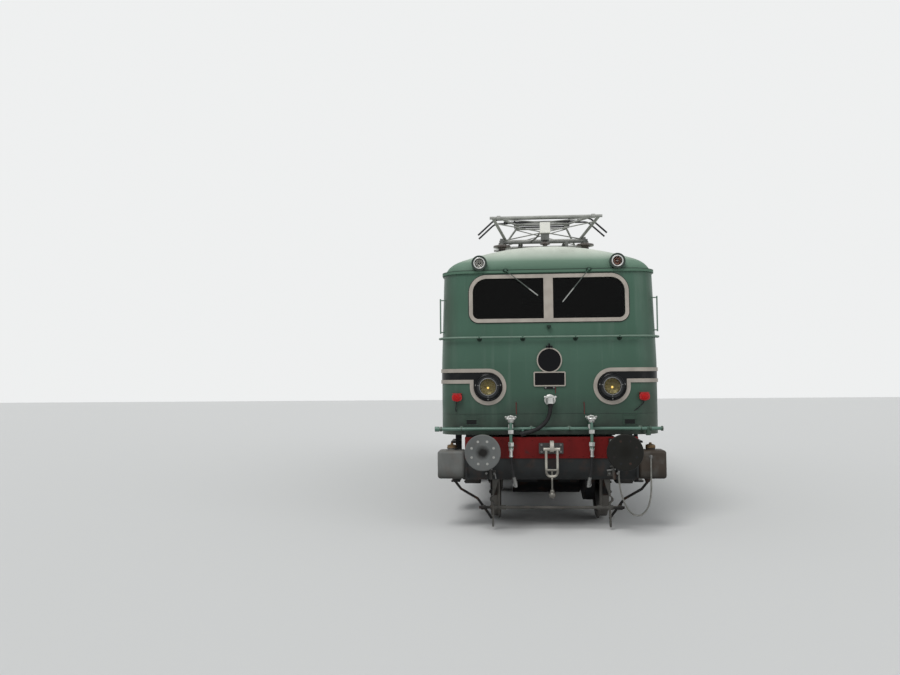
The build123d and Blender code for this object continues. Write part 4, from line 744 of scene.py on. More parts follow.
def rounded(half, low, high, radius, low_radius=None, steps=5):
    """A rounded oblong as (along, up) pairs."""
    points = []
    low_radius = low_radius or radius
    for quarter, way in enumerate((1, -1, -1, 1)):
        r = radius if quarter < 2 else low_radius
        z = high - r if quarter < 2 else low + r
        for k in range(steps + 1):
            angle = pi / 2 * (quarter + k / steps)
            points.append((way * (half - r) + r * cos(angle), z + r * sin(angle)))
    return points


# Front fittings, on both ends

HOSE_Y = FRONT_Y + 0.225
HOSE_TOP_Z = RAIL + 1.06
COCK_X = 0.523
COCK_Z = RAIL + 1.432
PIPE_Y = FRONT_Y + 0.072
PIPE_Z = RAIL + 1.312
PLUG_Z = RAIL + 1.69
JUMPER_OUT = FRONT_Y + 0.134
HOSE_D = 0.038
JUMPER_D = 0.054
TAIL_X = 1.236
TAIL_Z = RAIL + 1.728
SLOT_X = 1.046
SCREEN = (1.069, RAIL + 2.727, RAIL + 3.381, 0.243, 0.133)
RIVET_CIRCLE = 0.148


def bowl_outline(radius, near, far, steps=8, wall=0.0015):
    """A thin reflector as (radius, height) pairs, up its hollow side and back down behind it."""
    places = [0.0005] + [radius * k / steps for k in range(1, steps + 1)]
    hollow = [(r, -near - (far - near) * (1 - (r / radius) ** 2)) for r in places]
    return hollow + [(r, height - wall) for r, height in reversed(hollow)]


def headlamps(end):
    """Reflectors and bulbs behind the headlamps' glass, the rims round it and the bezels' clips."""
    bezel, rim, bowl, bulb = pieces(4, end)
    for x in WAYS:
        centre = Vector((x * RING_X, LAMP_FACE_Y, RING_Z))
        bezel.ring(centre - OUT * 0.004, 0.152, 0.011, steps=48)
        rim.ring(centre - OUT * 0.004, LAMP_GLASS_R - 0.002, 0.0065, steps=48)
        bezel.ring(centre - OUT * 0.006, 0.176, 0.005, steps=48, sides=8)
        for angle in (0.15, 3.0, 4.71):
            away = Vector((cos(angle), 0, sin(angle)))
            rim.bolt(centre + away * 0.166 - OUT * 0.010, 0.011)
            rim.rod(centre + away * 0.166 - OUT * 0.004, centre + away * 0.122, 0.005, sides=8)
        bowl.lathe(bowl_outline(0.1025, 0.0145, 0.0525), centre, steps=48)
        bulb.ball(centre - OUT * 0.036 - UP * 0.014, 0.015)
    bezel.done("headlamp_bezels", "black", "lamp_housing")
    rim.done("headlamp_rims", "steel", "bright_trim")
    bowl.done("headlamp_bowls", "bowl", "bright_trim")
    bulb.done("headlamp_bulbs", "bulb", "coupling_metal")


def marker_lamps(end):
    """Rims, reflectors and bulbs of the lamps on the brow."""
    ring, bulbs = pieces(2, end)
    for side, x in SIDES.items():
        centre = Vector((x * MARKER_X, MARKER_FACE_Y, MARKER_Z))
        ring.ring(centre - OUT * 0.002, 0.070, 0.010)
        bulbs.ball(centre - OUT * 0.022, 0.014, (1, 1.2, 1))
        bulbs.rod(centre - OUT * 0.034, centre - OUT * 0.022, 0.010)
        bowl = Piece(end)
        bowl.lathe(bowl_outline(0.0525, 0.0105, 0.0405), centre, steps=40)
        bowl.done(f"{side}_marker_bowl", "dull_bowl" if x > 0 else "marker_bowl", "bright_trim")
    ring.done("marker_rings", "bright", "bright_trim")
    bulbs.done("marker_bulbs", "steel", "coupling_metal")


def plaque_fixings(end):
    """The lamp bracket over the disc, and the bolted foot under it."""
    bracket, bolts = pieces(2, end)
    for half, proud, low, high in ((0.045, 0.034, 2.384, 2.41), (0.011, 0.034, 2.38, 2.44),
                                   (0.075, 0.012, 1.835, 1.872)):
        bracket.block((-half, FRONT_Y - 0.002, RAIL + low), (half, FRONT_Y + proud, RAIL + high))
    bracket.done("plaque_bracket", "black", "black_paint", bevel=0.002)
    for x in (-0.055, 0.055):
        bolts.bolt((x, FRONT_Y + 0.012, RAIL + 1.853), 0.010)
    bolts.done("plaque_bolts", "steel", "bright_trim")


def tail_lamps(end):
    """Lenses and hoods of the tail lamps, and the thin cables under them."""
    lens, hood, lead = pieces(3, end)
    y, z = FRONT_Y + 0.062, TAIL_Z
    near = FRONT_Y + 0.012
    for x in WAYS:
        cx = x * TAIL_X
        lens.lathe([(0.046, -0.004), (0.044, 0.006), (0.03, 0.012), (0.0005, 0.015)], (cx, y, z), steps=24)
        hood.ring((cx, y, z), 0.048, 0.006, steps=28, sides=8)
        hood.block((cx - 0.066, y - 0.09, z + 0.052), (cx + 0.066, y, z + 0.058))
        lead.tube([(cx, near, z - 0.04), (cx - 0.012, near, z - 0.09),
                   (cx - 0.052 - 0.03 * x, near, z - 0.15),
                   (cx - 0.075 - 0.06 * x, near - 0.016, z - 0.19)], 0.006)
    lead.done("tail_leads", "rubber", "hose_rubber")
    lens.done("tail_lenses", "red_glass", "window_glass")
    hood.done("tail_hoods", "tail_red", "lamp_housing", bevel=0.001)


def buffer_rivets(end):
    """Eight rivets on each buffer head, four bolts on each base, and the headstock's own."""
    rivets, heads, dull, bolts = pieces(4, end)
    for x in WAYS:
        cx = x * BUFFER_X
        for c, q in around(8, 0.5):
            flat = [(0.016, -0.004), (0.016, 0.0), (0.011, 0.0004), (0.0005, 0.0005)]
            place = (cx + c * RIVET_CIRCLE, BUFFER_FACE_Y, BUFFER_Z + q * RIVET_CIRCLE)
            # The right buffer's rivets take the dark underframe paint: painted shade, like the right head.
            (dull if x > 0 else heads).lathe(flat, place, steps=16)
        for dx, dz in corners(0.1, 0.1):
            bolts.bolt((cx + dx, HEADSTOCK_Y + 0.025, BUFFER_Z + dz), 0.016)
    for dx, dz in corners(0.125, 0.045):
        bolts.bolt((dx, HEADSTOCK_Y + 0.022, RAIL + 1.062 + dz), 0.012)
    for x in (-1.06, -0.66, -0.42, -0.24, 0.24, 0.42, 0.66, 1.06):
        for z in (HEADSTOCK_Z[0] + 0.03, HEADSTOCK_Z[1] - 0.03):
            rivets.rivet((x, HEADSTOCK_Y, z), 0.011)
    rivets.done("rivets", "bogie", "bogie_paint", "bogie")
    heads.done("buffer_rivets", "rivet", "grey_paint", "bogie")
    dull.done("dark_buffer_rivets", "under", "grey_paint", "bogie")
    bolts.done("headstock_bolts", "steel", "drawgear_steel", "bogie")


def cocks(end):
    """Brake cocks with their handles and unions, and the small red rods over them."""
    bright, red = pieces(2, end)
    tilt = Vector((0, 0.25, 1)).normalized()
    for x in WAYS:
        cx = x * COCK_X
        top = Vector((cx, HOSE_Y - 0.01, COCK_Z))
        bright.rod(top - OUT * 0.12, top + OUT * 0.012, 0.040, sides=6)
        bright.ball(top, 0.044, (1, 0.9, 1))
        hub = top - OUT * 0.02 + UP * 0.032
        bright.ring(hub, 0.062, 0.012, tilt, steps=28)
        bright.rod(hub - tilt * 0.012, hub + tilt * 0.016, 0.024, sides=12)
        for across, along in around(5, 0.25):
            along *= ENDS[end]
            bright.ball(hub + Vector((across * 0.066, along * 0.062, -0.25 * along * 0.062)), 0.0175)
            bright.rod(hub, hub + Vector((across, along, -0.25 * along)) * 0.06, 0.008)
        for z, radius, half in ((PIPE_Z - 0.03, 0.040, 0.025), (HOSE_TOP_Z + 0.06, 0.041, 0.025),
                                (HOSE_TOP_Z + 0.004, 0.033, 0.015)):
            bright.pin((cx, HOSE_Y, z), half, radius, UP, 6)
        bright.post(cx, PIPE_Y, PIPE_Z - 0.002, PIPE_Z + 0.06, 0.036, sides=6)
        rod_x = cx - x * 0.075
        red.tube([(rod_x, FRONT_Y - 0.004, RAIL + 1.66), (rod_x, FRONT_Y + 0.03, RAIL + 1.65),
                  (rod_x, FRONT_Y + 0.035, RAIL + 1.50)], 0.0045)
    red.tube([(0.075, FRONT_Y, RAIL + 1.86), (0.075, FRONT_Y + 0.024, RAIL + 1.845),
              (0.072, FRONT_Y + 0.026, RAIL + 1.775)], 0.004)
    bright.done("cock_brights", "bright", "coupling_metal", bevel=0.002)
    red.done("red_rods", "red_rod", "green_paint")


def jumper_plug(end):
    """The jumper's socket: a bolted flange, a lid and the plug's collar."""
    plug = Piece(end)
    plug.lathe([(0.074, -0.004), (0.074, 0.014), (0.058, 0.020), (0.050, 0.05)], (0, FRONT_Y, PLUG_Z))
    for c, q in around(4, 0.5):
        plug.bolt((c * 0.055, FRONT_Y + 0.012, PLUG_Z + q * 0.055), 0.008)
    plug.block((-0.066, JUMPER_OUT - 0.05, PLUG_Z + 0.028), (0.066, JUMPER_OUT + 0.035, PLUG_Z + 0.054))
    plug.pin((0, JUMPER_OUT, PLUG_Z), 0.035, 0.047, UP)
    plug.pin((0, JUMPER_OUT, PLUG_Z - 0.036), 0.01, 0.052, UP)
    for x in (-0.068, 0.068):
        plug.ball((x, JUMPER_OUT, PLUG_Z + 0.041), 0.018)
    plug.done("jumper_socket", "bright", "coupling_metal", bevel=0.002)


def lifting_slots(end):
    """Two slots low on the cab front, each in a thin frame; each slot is a dark plate, painted shade for the
    depth of the opening.
    """
    dark, edge = pieces(2, end)
    for x in WAYS:
        cx = x * SLOT_X
        # Painted shade: a thin dark plate stands for the shaded inside of the slot.
        dark.block((cx - 0.065, FRONT_Y - 0.005, RAIL + 1.368), (cx + 0.065, FRONT_Y + 0.002, RAIL + 1.428))
        for z in (RAIL + 1.362, RAIL + 1.430, RAIL + 1.490):
            edge.block((cx - 0.09, FRONT_Y, z), (cx + 0.09, FRONT_Y + 0.006, z + 0.006))
        for dx in (-0.09, 0.084):
            edge.block((cx + dx, FRONT_Y, RAIL + 1.362), (cx + dx + 0.006, FRONT_Y + 0.006, RAIL + 1.496))
    dark.done("slots", "filter", "black_paint")
    edge.done("slot_frames", "green", "green_paint")


def rail_brackets(end):
    """Feet where the handrails and the end pipe meet the cab front."""
    feet, dark = pieces(2, end)
    base = wall_y(RAIL + 2.53)
    for x in (-0.93, -0.35, 0.35, 0.93):
        foot = [(0.034, -0.002), (0.034, 0.006), (0.022, 0.012), (0.013, 0.03)]
        dark.lathe(foot, (x, base, RAIL + 2.51), steps=20)
        dark.rod((x, base + 0.02, RAIL + 2.485), (x, FRONT_Y + 0.036, RAIL + 2.515), 0.010)
        feet.ball((x, FRONT_Y + 0.04, RAIL + 2.535), 0.017)
    dark.block((-0.028, FRONT_Y - 0.01, RAIL + 2.655), (0.028, FRONT_Y + 0.03, RAIL + 2.685))
    dark.post(0, FRONT_Y + 0.018, RAIL + 2.66, RAIL + 2.635, 0.010)
    dark.done("rail_brackets", "dark_green", "green_paint", bevel=0.001)
    for x in (-1.18, -0.25, 0.25, 1.18):
        feet.lathe([(0.036, -0.002), (0.036, 0.008), (0.018, 0.02)], (x, FRONT_Y, PIPE_Z), steps=20)
        feet.ring((x, PIPE_Y, PIPE_Z), 0.024, 0.006, ACROSS, steps=20, sides=8)
    for x in (-1.45, 1.30, 1.45):
        feet.pin((x, PIPE_Y, PIPE_Z), 0.012, 0.036, sides=6)
    feet.post(1.27, PIPE_Y, PIPE_Z - 0.075, PIPE_Z + 0.015, 0.028)
    feet.post(1.27, PIPE_Y, PIPE_Z - 0.088, PIPE_Z - 0.06, 0.036, sides=6)
    feet.done("rail_feet", "green", "green_paint", bevel=0.001)


def windscreen_gaskets(end):
    """A dark rubber line round the windscreen's frame, partly a gasket and partly a painted shadow along its
    edge, and the wiper motors' bosses.
    """
    line, bosses = pieces(2, end)
    outline = rounded(*SCREEN, steps=8)
    # The dark loop is partly the rubber gasket, partly a painted shadow line round the frame.
    line.loop([(u, wall_y(z, 0.003), z) for u, z in outline], 0.0065)
    line.done("screen_gasket", "rubber", "black_paint")
    for x, lean in ((-0.57, 0.03), (0.545, -0.03)):
        spot = Vector((x, wall_y(RAIL + 3.432, 0.02), RAIL + 3.436))
        bosses.ball(spot, 0.034, (1.15, 1.0, 0.75))
        bosses.rod(spot, spot + Vector((lean, 0.028, -0.03)), 0.020, 0.012)
    bosses.done("wiper_bosses", "dark_green", "green_paint")


# Hoses and cables, on the same routes as their solids

HOSE_ROUTE = [(COCK_X, HOSE_Y, HOSE_TOP_Z), (COCK_X, HOSE_Y, HOSE_TOP_Z - 0.105),
              (COCK_X - 0.008, HOSE_Y + 0.004, HOSE_TOP_Z - 0.215),
              (COCK_X - 0.024, HOSE_Y + 0.014, HOSE_TOP_Z - 0.32),
              (COCK_X - 0.046, HOSE_Y + 0.028, HOSE_TOP_Z - 0.415)]
JUMPER_ROUTE = [(0, JUMPER_OUT, PLUG_Z - 0.042), (0, JUMPER_OUT, PLUG_Z - 0.142),
                (-0.036, JUMPER_OUT + 0.003, PLUG_Z - 0.250), (-0.110, JUMPER_OUT + 0.006, PLUG_Z - 0.338),
                (-0.213, JUMPER_OUT + 0.006, PLUG_Z - 0.398), (-0.326, JUMPER_OUT + 0.004, PLUG_Z - 0.428)]
CABLE_D = 0.022
CABLE_ROUTE = [(0.868, 5.862, 0.800), (0.868, 5.862, 0.640), (0.915, 5.866, 0.420), (1.000, 5.866, 0.255),
               (1.125, 5.862, 0.205), (1.235, 5.855, 0.300), (1.283, 5.845, 0.480), (1.290, 5.832, 0.720),
               (1.290, 5.832, 0.985)]


def cord_curve(name, points, diameter, material, node, body="body"):
    """A cord along its route, which takes a node's place."""
    data = bpy.data.curves.new(name, "CURVE")
    data.dimensions = "3D"
    data.bevel_depth = diameter / 2
    data.bevel_resolution = 5
    data.use_fill_caps = True
    data.resolution_u = 10
    spline = data.splines.new("NURBS")
    spline.points.add(len(points) - 1)
    for point, place in zip(spline.points, points):
        point.co = (*place, 1)
    spline.order_u = 3
    spline.use_endpoint_u = True
    data.materials.append(MATERIALS[material].material)
    made = add_object(name, data)
    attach(made, body)
    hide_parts(node)
    return made


def line_length(cord):
    """The length of a cord's own line."""
    bare = cord.data.copy()
    bare.bevel_depth = 0
    holder = bpy.data.objects.new("bare", bare)
    line = bpy.data.meshes.new_from_object(holder)
    places = [vert.co for vert in line.vertices]
    bpy.data.objects.remove(holder)
    return sum((b - a).length for a, b in zip(places, places[1:]))


def hoses(end):
    """Two brake hoses with their ferrules and coupling heads, and the jumper cable."""
    s = ENDS[end]
    for side, x in SIDES.items():
        route = [(x * px, s * py, pz) for px, py, pz in HOSE_ROUTE]
        hose = cord_curve(f"{end}_{side}_hose", route, HOSE_D, "rubber", f"{end}_hose_{side}")
        first, second, before, tip = (Vector(route[k]) for k in (0, 1, -2, -1))
        run, down = (tip - before).normalized(), (second - first).normalized()
        head, collar = pieces(2)
        head.rod(tip - run * 0.05, tip + run * 0.012, 0.023)
        head.rod(tip, tip + run * 0.048, 0.028, 0.024)
        head.ring(tip + run * 0.012, 0.026, 0.005, run, steps=20, sides=8)
        head.rod(tip + run * 0.034, tip + run * 0.072, 0.017, 0.020)
        head.ball(tip + run * 0.062, 0.022, (1, 0.8, 1))
        bend = ((0.03, 0.026), (0.05, 0.034), (0.074, 0.022))
        head.tube([tip + run * far + ACROSS * x * off for far, off in bend], 0.008)
        coupling = head.done(f"{end}_{side}_hose_coupling", "steel", "coupling_metal")
        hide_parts("hose_couplings")
        collar.rod(first, first + down * 0.10, 0.0225)
        collar.rod(first + down * 0.004, first + down * 0.03, 0.029, sides=6)
        collar.rod(first + down * 0.088, first + down * 0.104, 0.027)
        ferrule = collar.done(f"{end}_{side}_hose_ferrule", "bright", "coupling_metal", bevel=0.001)
        line_length(hose)
    route = [(px, s * py, pz) for px, py, pz in JUMPER_ROUTE]
    cable = cord_curve(f"{end}_jumper_cable", route, JUMPER_D, "rubber", "jumper_cables")
    start, before, tip = (Vector(route[k]) for k in (0, -2, -1))
    run = (tip - before).normalized()
    clamp = Piece()
    clamp.rod(tip - run * 0.002, tip + run * 0.072, 0.034, sides=20)
    clamp.ring(tip + run * 0.01, 0.032, 0.006, run, steps=24, sides=8)
    clamp.ring(tip + run * 0.055, 0.033, 0.006, run, steps=24, sides=8)
    clamp.rod(start + UP * 0.002, start - UP * 0.05, 0.040, 0.031, sides=20)
    clamp.done(f"{end}_jumper_ends", "rubber", "hose_rubber")
    line_length(cable)


def loose_cable():
    """The cable that hangs beside the right buffer, in a clip at each end."""
    route = [(x, -y, z) for x, y, z in CABLE_ROUTE]
    cable = cord_curve("front_hanging_cable", route, CABLE_D, "pale_cable", "front_loose_cable",
                       "front_bogie")
    first, last = Vector(CABLE_ROUTE[0]), Vector(CABLE_ROUTE[-1])
    clips = Piece("front")
    clips.rod(last - UP * 0.035, last + UP * 0.012, 0.016)
    clips.block((last.x - 0.02, last.y + 0.004, last.z - 0.02), (last.x + 0.02, 5.797, last.z + 0.004))
    clips.rod(first - UP * 0.035, first + UP * 0.004, 0.015)
    clips.done("cable_clips", "steel", "coupling_metal", "bogie", bevel=0.001)
    line_length(cable)


# Doors and sides

DOOR_MIDDLE = 4.025
DOOR_WINDOW = (0.2, RAIL + 2.56, RAIL + 3.13)
BAY_LOW = RAIL + 2.56
BAY_HIGH = RAIL + 3.19
BAY_STEP = 0.975
GRILLES = [BAY_STEP * step for step in (-3, -1, 1, 3)]
SEAMS = (-4.47, -3.575, -2.335, -1.565, 1.565, 2.335, 3.575, 4.47)
STEPS = (RAIL + 0.43, RAIL + 0.72, RAIL + 1.01)
SILL_PIPE_X = 1.395
SILL_PIPE_Z = SKIRT_Z - 0.026


def door_fittings(end, side):
    """A pane with its gasket, and a lock, on one door."""
    s, x = ENDS[end], SIDES[side]
    body = f"door_{end}_{side}"
    y = s * DOOR_MIDDLE
    pane, gasket, lock = pieces(3)
    window = rounded(*DOOR_WINDOW, 0.07)
    pane.panel(window, x, y, -0.020, -0.027)
    pane.done(f"{body}_pane", "glass", "window_glass", body)
    half, low, high = DOOR_WINDOW
    gasket.loop(on_wall(rounded(half + 0.007, low - 0.007, high + 0.007, 0.077), x, y, 0.001), 0.010)
    gasket.loop(on_wall(window, x, y, -0.018), 0.007)
    gasket.done(f"{body}_gasket", "silver", "bright_trim", body)
    face = x * BODY_X
    lock_y = y + s * 0.245
    lock.block((face, lock_y - 0.024, RAIL + 2.255), (face + x * 0.006, lock_y + 0.024, RAIL + 2.345))
    lock.rod((face + x * 0.01, lock_y, RAIL + 2.318), (face + x * 0.022, lock_y, RAIL + 2.318), 0.011)
    lock.rod((face, lock_y, RAIL + 2.28), (face + x * 0.012, lock_y, RAIL + 2.28), 0.012)
    lock.done(f"{body}_lock", "steel", "rail_steel", body, bevel=0.001)


def louvre_filters():
    """A dark filter mesh behind each grille."""
    mesh = Piece()
    for x in WAYS:
        for y in GRILLES:
            mesh.panel(oblong(0.52, BAY_LOW + 0.005, BAY_HIGH - 0.005), x, y, -0.047, -0.052)
    mesh.done("louvre_filters", "filter", "black_paint")


def side_trim():
    """Grille fixings, jacking pads, the pipe run under each sill and its clips."""
    bolts, pads, pipes = pieces(3)
    for x in WAYS:
        out = ACROSS * x
        for y in GRILLES:
            for dy in (-0.507, -0.17, 0.17, 0.507):
                for z in (BAY_LOW + 0.018, BAY_HIGH - 0.018):
                    bolts.rivet((x * wall_x(z, 0.006), y + dy, z), 0.008, out)
        pad_x = x * (BODY_X + 0.026)
        for y in (-PIVOT_Y, PIVOT_Y):
            pads.block((x * (BODY_X - 0.003), y - 0.16, SKIRT_Z + 0.01), (pad_x, y + 0.16, SKIRT_Z + 0.10))
            for dy in (-0.12, 0.12):
                pads.bolt((pad_x, y + dy, SKIRT_Z + 0.055), 0.013, out)
        pipes.tube([(x * SILL_PIPE_X, y, SILL_PIPE_Z) for y in (-2.45, 2.45)], 0.020, sides=12)
        for y in (-2.3, -1.6, -0.95, 0.95, 1.6, 2.3):
            pipes.ring((x * SILL_PIPE_X, y, SILL_PIPE_Z), 0.021, 0.006, steps=18, sides=6)
    bolts.done("grille_rivets", "steel", "louvre_metal")
    pads.done("jacking_pads", "under", "underframe_paint", bevel=0.004)
    pipes.done("sill_pipes", "under", "underframe_paint")


def side_seams():
    """Thin weld strips between the side panels, a rain strip over each door and ribs on the steps."""
    seams, ribs = pieces(2)
    for x in WAYS:
        for y in SEAMS:
            for low, high in ((SKIRT_Z + 0.02, BAND_LOW - 0.02), (BAND_HIGH + 0.06, EAVES_Z - 0.01)):
                heights = [low + (high - low) * k / 6 for k in range(7)]
                outline = [(-0.004, z) for z in heights] + [(0.004, z) for z in reversed(heights)]
                seams.panel(outline, x, y, 0.0015, -0.003)
        for y in (-DOOR_MIDDLE, DOOR_MIDDLE):
            seams.panel(oblong(0.37, RAIL + 3.345, RAIL + 3.355), x, y, 0.014, -0.003)
            for z in STEPS:
                for k in range(5):
                    rib = x * (1.318 + 0.0215 * k)
                    ribs.block((rib - 0.004, y - 0.265, z - 0.001), (rib + 0.004, y + 0.265, z + 0.0055))
    seams.done("panel_seams", "body", "green_paint")
    ribs.done("step_ribs", "steel", "underframe_paint")


# Cab inside

def cushion(name, low, high):
    """A stuffed pad: a crowned form with sides that pull in."""
    low, high = Vector(low), Vector(high)
    piece = Piece()
    bmesh.ops.create_cube(piece.bm, size=2)
    bmesh.ops.subdivide_edges(piece.bm, edges=piece.bm.edges[:], cuts=7, use_grid_fill=True)
    for vert in piece.bm.verts:
        u, v, w = vert.co
        pull = 1 - 0.05 * (abs(u * v) + abs(v * w) + abs(u * w))
        swell = 0.96 + 0.03 * (1 - u ** 4) * (1 - v ** 4)
        reach = Vector(a * abs(size) / 2 for a, size in zip((u, v, w), high - low))
        vert.co = (low + high) / 2 + reach * pull * swell
    made = piece.done(name, "cloth", "seat_leather", crease=80)
    smooth = made.modifiers.new("smooth", "SUBSURF")
    smooth.levels = 1
    smooth.render_levels = 1
    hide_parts("cab_seats")


def cab_inside(end):
    """Seats on pedestals, the instrument housing, dials, a controller wheel and a brake lever."""
    s = ENDS[end]
    legs, housing, dials, hands = pieces(4, end)
    seat_y = 4.72
    seat_z = RAIL + 1.86
    for side, x in SIDES.items():
        cx = x * 0.62
        legs.lathe([(0.15, 0), (0.15, 0.012), (0.06, 0.03), (0.045, 0.06), (0.045, 0.40), (0.11, 0.43)],
                   (cx, seat_y, seat_z - 0.43), UP, 24)
        legs.block((cx - 0.05, seat_y - 0.25, seat_z - 0.01), (cx + 0.05, seat_y - 0.265, seat_z + 0.5))
        cushion(f"{end}_{side}_seat_cushion", (cx - 0.225, s * seat_y - 0.215, seat_z),
                (cx + 0.225, s * seat_y + 0.215, seat_z + 0.105))
        cushion(f"{end}_{side}_seat_back", (cx - 0.205, s * (seat_y - 0.15), seat_z + 0.12),
                (cx + 0.205, s * (seat_y - 0.245), seat_z + 0.66))
    legs.done("seat_legs", "under", "machine_paint", bevel=0.003)
    desk_y = 5.36
    desk_z = RAIL + 2.44
    for cx in (-0.62, 0.62):
        housing.block((cx - 0.36, desk_y, desk_z - 0.002), (cx + 0.36, desk_y + 0.14, desk_z + 0.15))
        for k in range(4):
            place = Vector((cx - 0.255 + 0.17 * k, desk_y, desk_z + 0.078))
            dials.rod(place, place - OUT * 0.006, 0.055, sides=28)
            housing.ring(place - OUT * 0.004, 0.056, 0.007, steps=28, sides=8)
            tail, point = Vector((-0.03, -0.002, -0.02)), Vector((0.018, -0.009, 0.014))
            hands.rod(place + tail, place + point, 0.002, sides=6)
    wheel_x = -0.5
    wheel_y = 5.20
    housing.post(wheel_x, wheel_y, desk_z - 0.02, desk_z + 0.075, 0.05, 0.035)
    housing.ring((wheel_x, wheel_y, desk_z + 0.085), 0.15, 0.012, UP, steps=36)
    for c, q in around(3):
        housing.rod((wheel_x, wheel_y, desk_z + 0.082),
                    (wheel_x + 0.15 * c, wheel_y + 0.15 * q, desk_z + 0.085), 0.008, sides=8)
    housing.post(-0.98, wheel_y, desk_z - 0.01, desk_z + 0.06, 0.045, 0.035)
    housing.tube([(-0.98, wheel_y, desk_z + 0.055), (-0.93, wheel_y - 0.02, desk_z + 0.09),
                  (-0.86, wheel_y - 0.05, desk_z + 0.10)], 0.010)
    housing.ball((-0.85, wheel_y - 0.055, desk_z + 0.10), 0.022)
    housing.done("desk_fittings", "desk", "machine_paint", bevel=0.002)
    dials.done("dials", "dial", "cab_paint")
    hands.done("dial_hands", "black", "black_paint")


# Roof

HATCH_TOP = RAIL + 3.88
HATCHES = ((-2.42, -1.2), (-1.18, 1.18), (1.2, 2.42))
BOARD_X = (0.98, 1.09)
BOARD_SPANS = ((-2.4, -0.05), (0.05, 2.4))
INSULATOR_FOOT = 3.7
BASE_TOP = PANTO_Z - 0.062
SHEDS = ((0.36, 0), (0.38, 0.2), (0.36, 0.475), (0.62, 0.50), (0.84, 0.525), (0.85, 0.555), (0.84, 0.585),
         (0.6, 0.63), (0.42, 0.695), (0.42, 0.755), (0.7, 0.78), (1, 0.805), (1.012, 0.84), (1, 0.875),
         (0.6, 0.91), (0.4, 0.945), (0.4, 0.985))
ARM = 1.18
SHAFT_OUT = 0.32
HEAD_OUT = 0.09
LOWER_SLOPE = radians(7)
UPPER_SLOPE = radians(6)


def roof_z(x):
    """How high the roof stands, so far from the middle."""
    return ROOF_TOP - ROOF_R + sqrt(ROOF_R ** 2 - x ** 2)


def roof_fittings():
    """Hatch bolts, ventilator cowls, lifting eyes and walkway boards."""
    bolts, cowls, boards = pieces(3)
    for low, high in HATCHES:
        steps = round((high - low) / 0.2)
        for k in range(steps + 1):
            y = low + 0.04 + (high - low - 0.08) * k / steps
            for x in (-0.74, 0.74):
                bolts.bolt((x, y, HATCH_TOP - 0.0125), 0.010, UP)
        for y in (low + 0.035, high - 0.035):
            for k in range(-3, 4):
                bolts.bolt((k * 0.2, y, HATCH_TOP - 0.003 - 0.0125 * abs(k * 0.2) / 0.77), 0.010, UP)
    for s in WAYS:
        for y in (0.59, 1.81):
            for x in (-0.48, 0.48):
                place = Vector((x, s * y, RAIL + 3.96))
                cap = [(0.166, -0.046), (0.168, -0.006), (0.150, 0.001), (0.09, 0.007), (0.0005, 0.009)]
                cowls.lathe(cap, place, UP, 36)
                cowls.ring(place - UP * 0.046, 0.163, 0.006, UP, steps=36, sides=8)
                for c, q in around(24):
                    cowls.pin(place + Vector((c * 0.124, q * 0.124, -0.063)), 0.029, 0.005, UP, 6)
        for x in (-0.95, 0.95):
            for y in (2.75, 4.95):
                eye = Vector((x, s * y, roof_z(x)))
                bolts.ring(eye + UP * 0.02, 0.028, 0.008, ACROSS, steps=24, sides=8)
                bolts.rod(eye - UP * 0.02, eye + UP * 0.004, 0.026)
    z = roof_z(1.05)
    for x in WAYS:
        for low, high in BOARD_SPANS:
            for board in BOARD_X:
                boards.block((x * (board - 0.048), low, z + 0.022), (x * (board + 0.048), high, z + 0.044))
            for y in (low + 0.2, (low + high) / 2, high - 0.2):
                boards.block((x * 0.92, y - 0.025, z - 0.055), (x * 1.15, y + 0.025, z + 0.022))
    bolts.done("roof_bolts", "arm", "roof_paint")
    cowls.done("ventilator_cowls", "roof", "roof_paint")
    boards.done("roof_walkways", "board", "roof_paint", bevel=0.003)


def roof_insulators():
    """Glazed sheds over the insulators' solids, the caps under the pantographs and the cables."""
    sheds, cables = pieces(2)
    for s in WAYS:
        spots = [(-0.25, s * 2.05, BASE_TOP, 0.078), (-0.25, s * 0.7, BASE_TOP, 0.078),
                 (0, s * 4.9, RAIL + 3.96, 0.07)]
        for x, dy in corners(0.625, 0.56):
            spots.append((x, s * PANTO_Y + dy, BASE_TOP, 0.128))
            cables.post(x, s * PANTO_Y + dy, BASE_TOP - 0.034, BASE_TOP + 0.036, 0.045, sides=6)
        for x, y, top, radius in spots:
            outline = [(share * radius + 0.002, level * (top - INSULATOR_FOOT)) for share, level in SHEDS]
            sheds.lathe(outline, (x, y, INSULATOR_FOOT), UP, 36)
        cables.tube([(0.0, s * 4.84, RAIL + 4.18), (-0.05, s * 4.66, RAIL + 4.13),
                     (-0.12, s * 4.5, RAIL + 4.06), (-0.2, s * 4.35, BASE_TOP)], 0.012)
    sheds.done("insulator_sheds", "porcelain", "roof_gear_paint", crease=60)
    cables.done("roof_cables", "steel", "pantograph_paint")


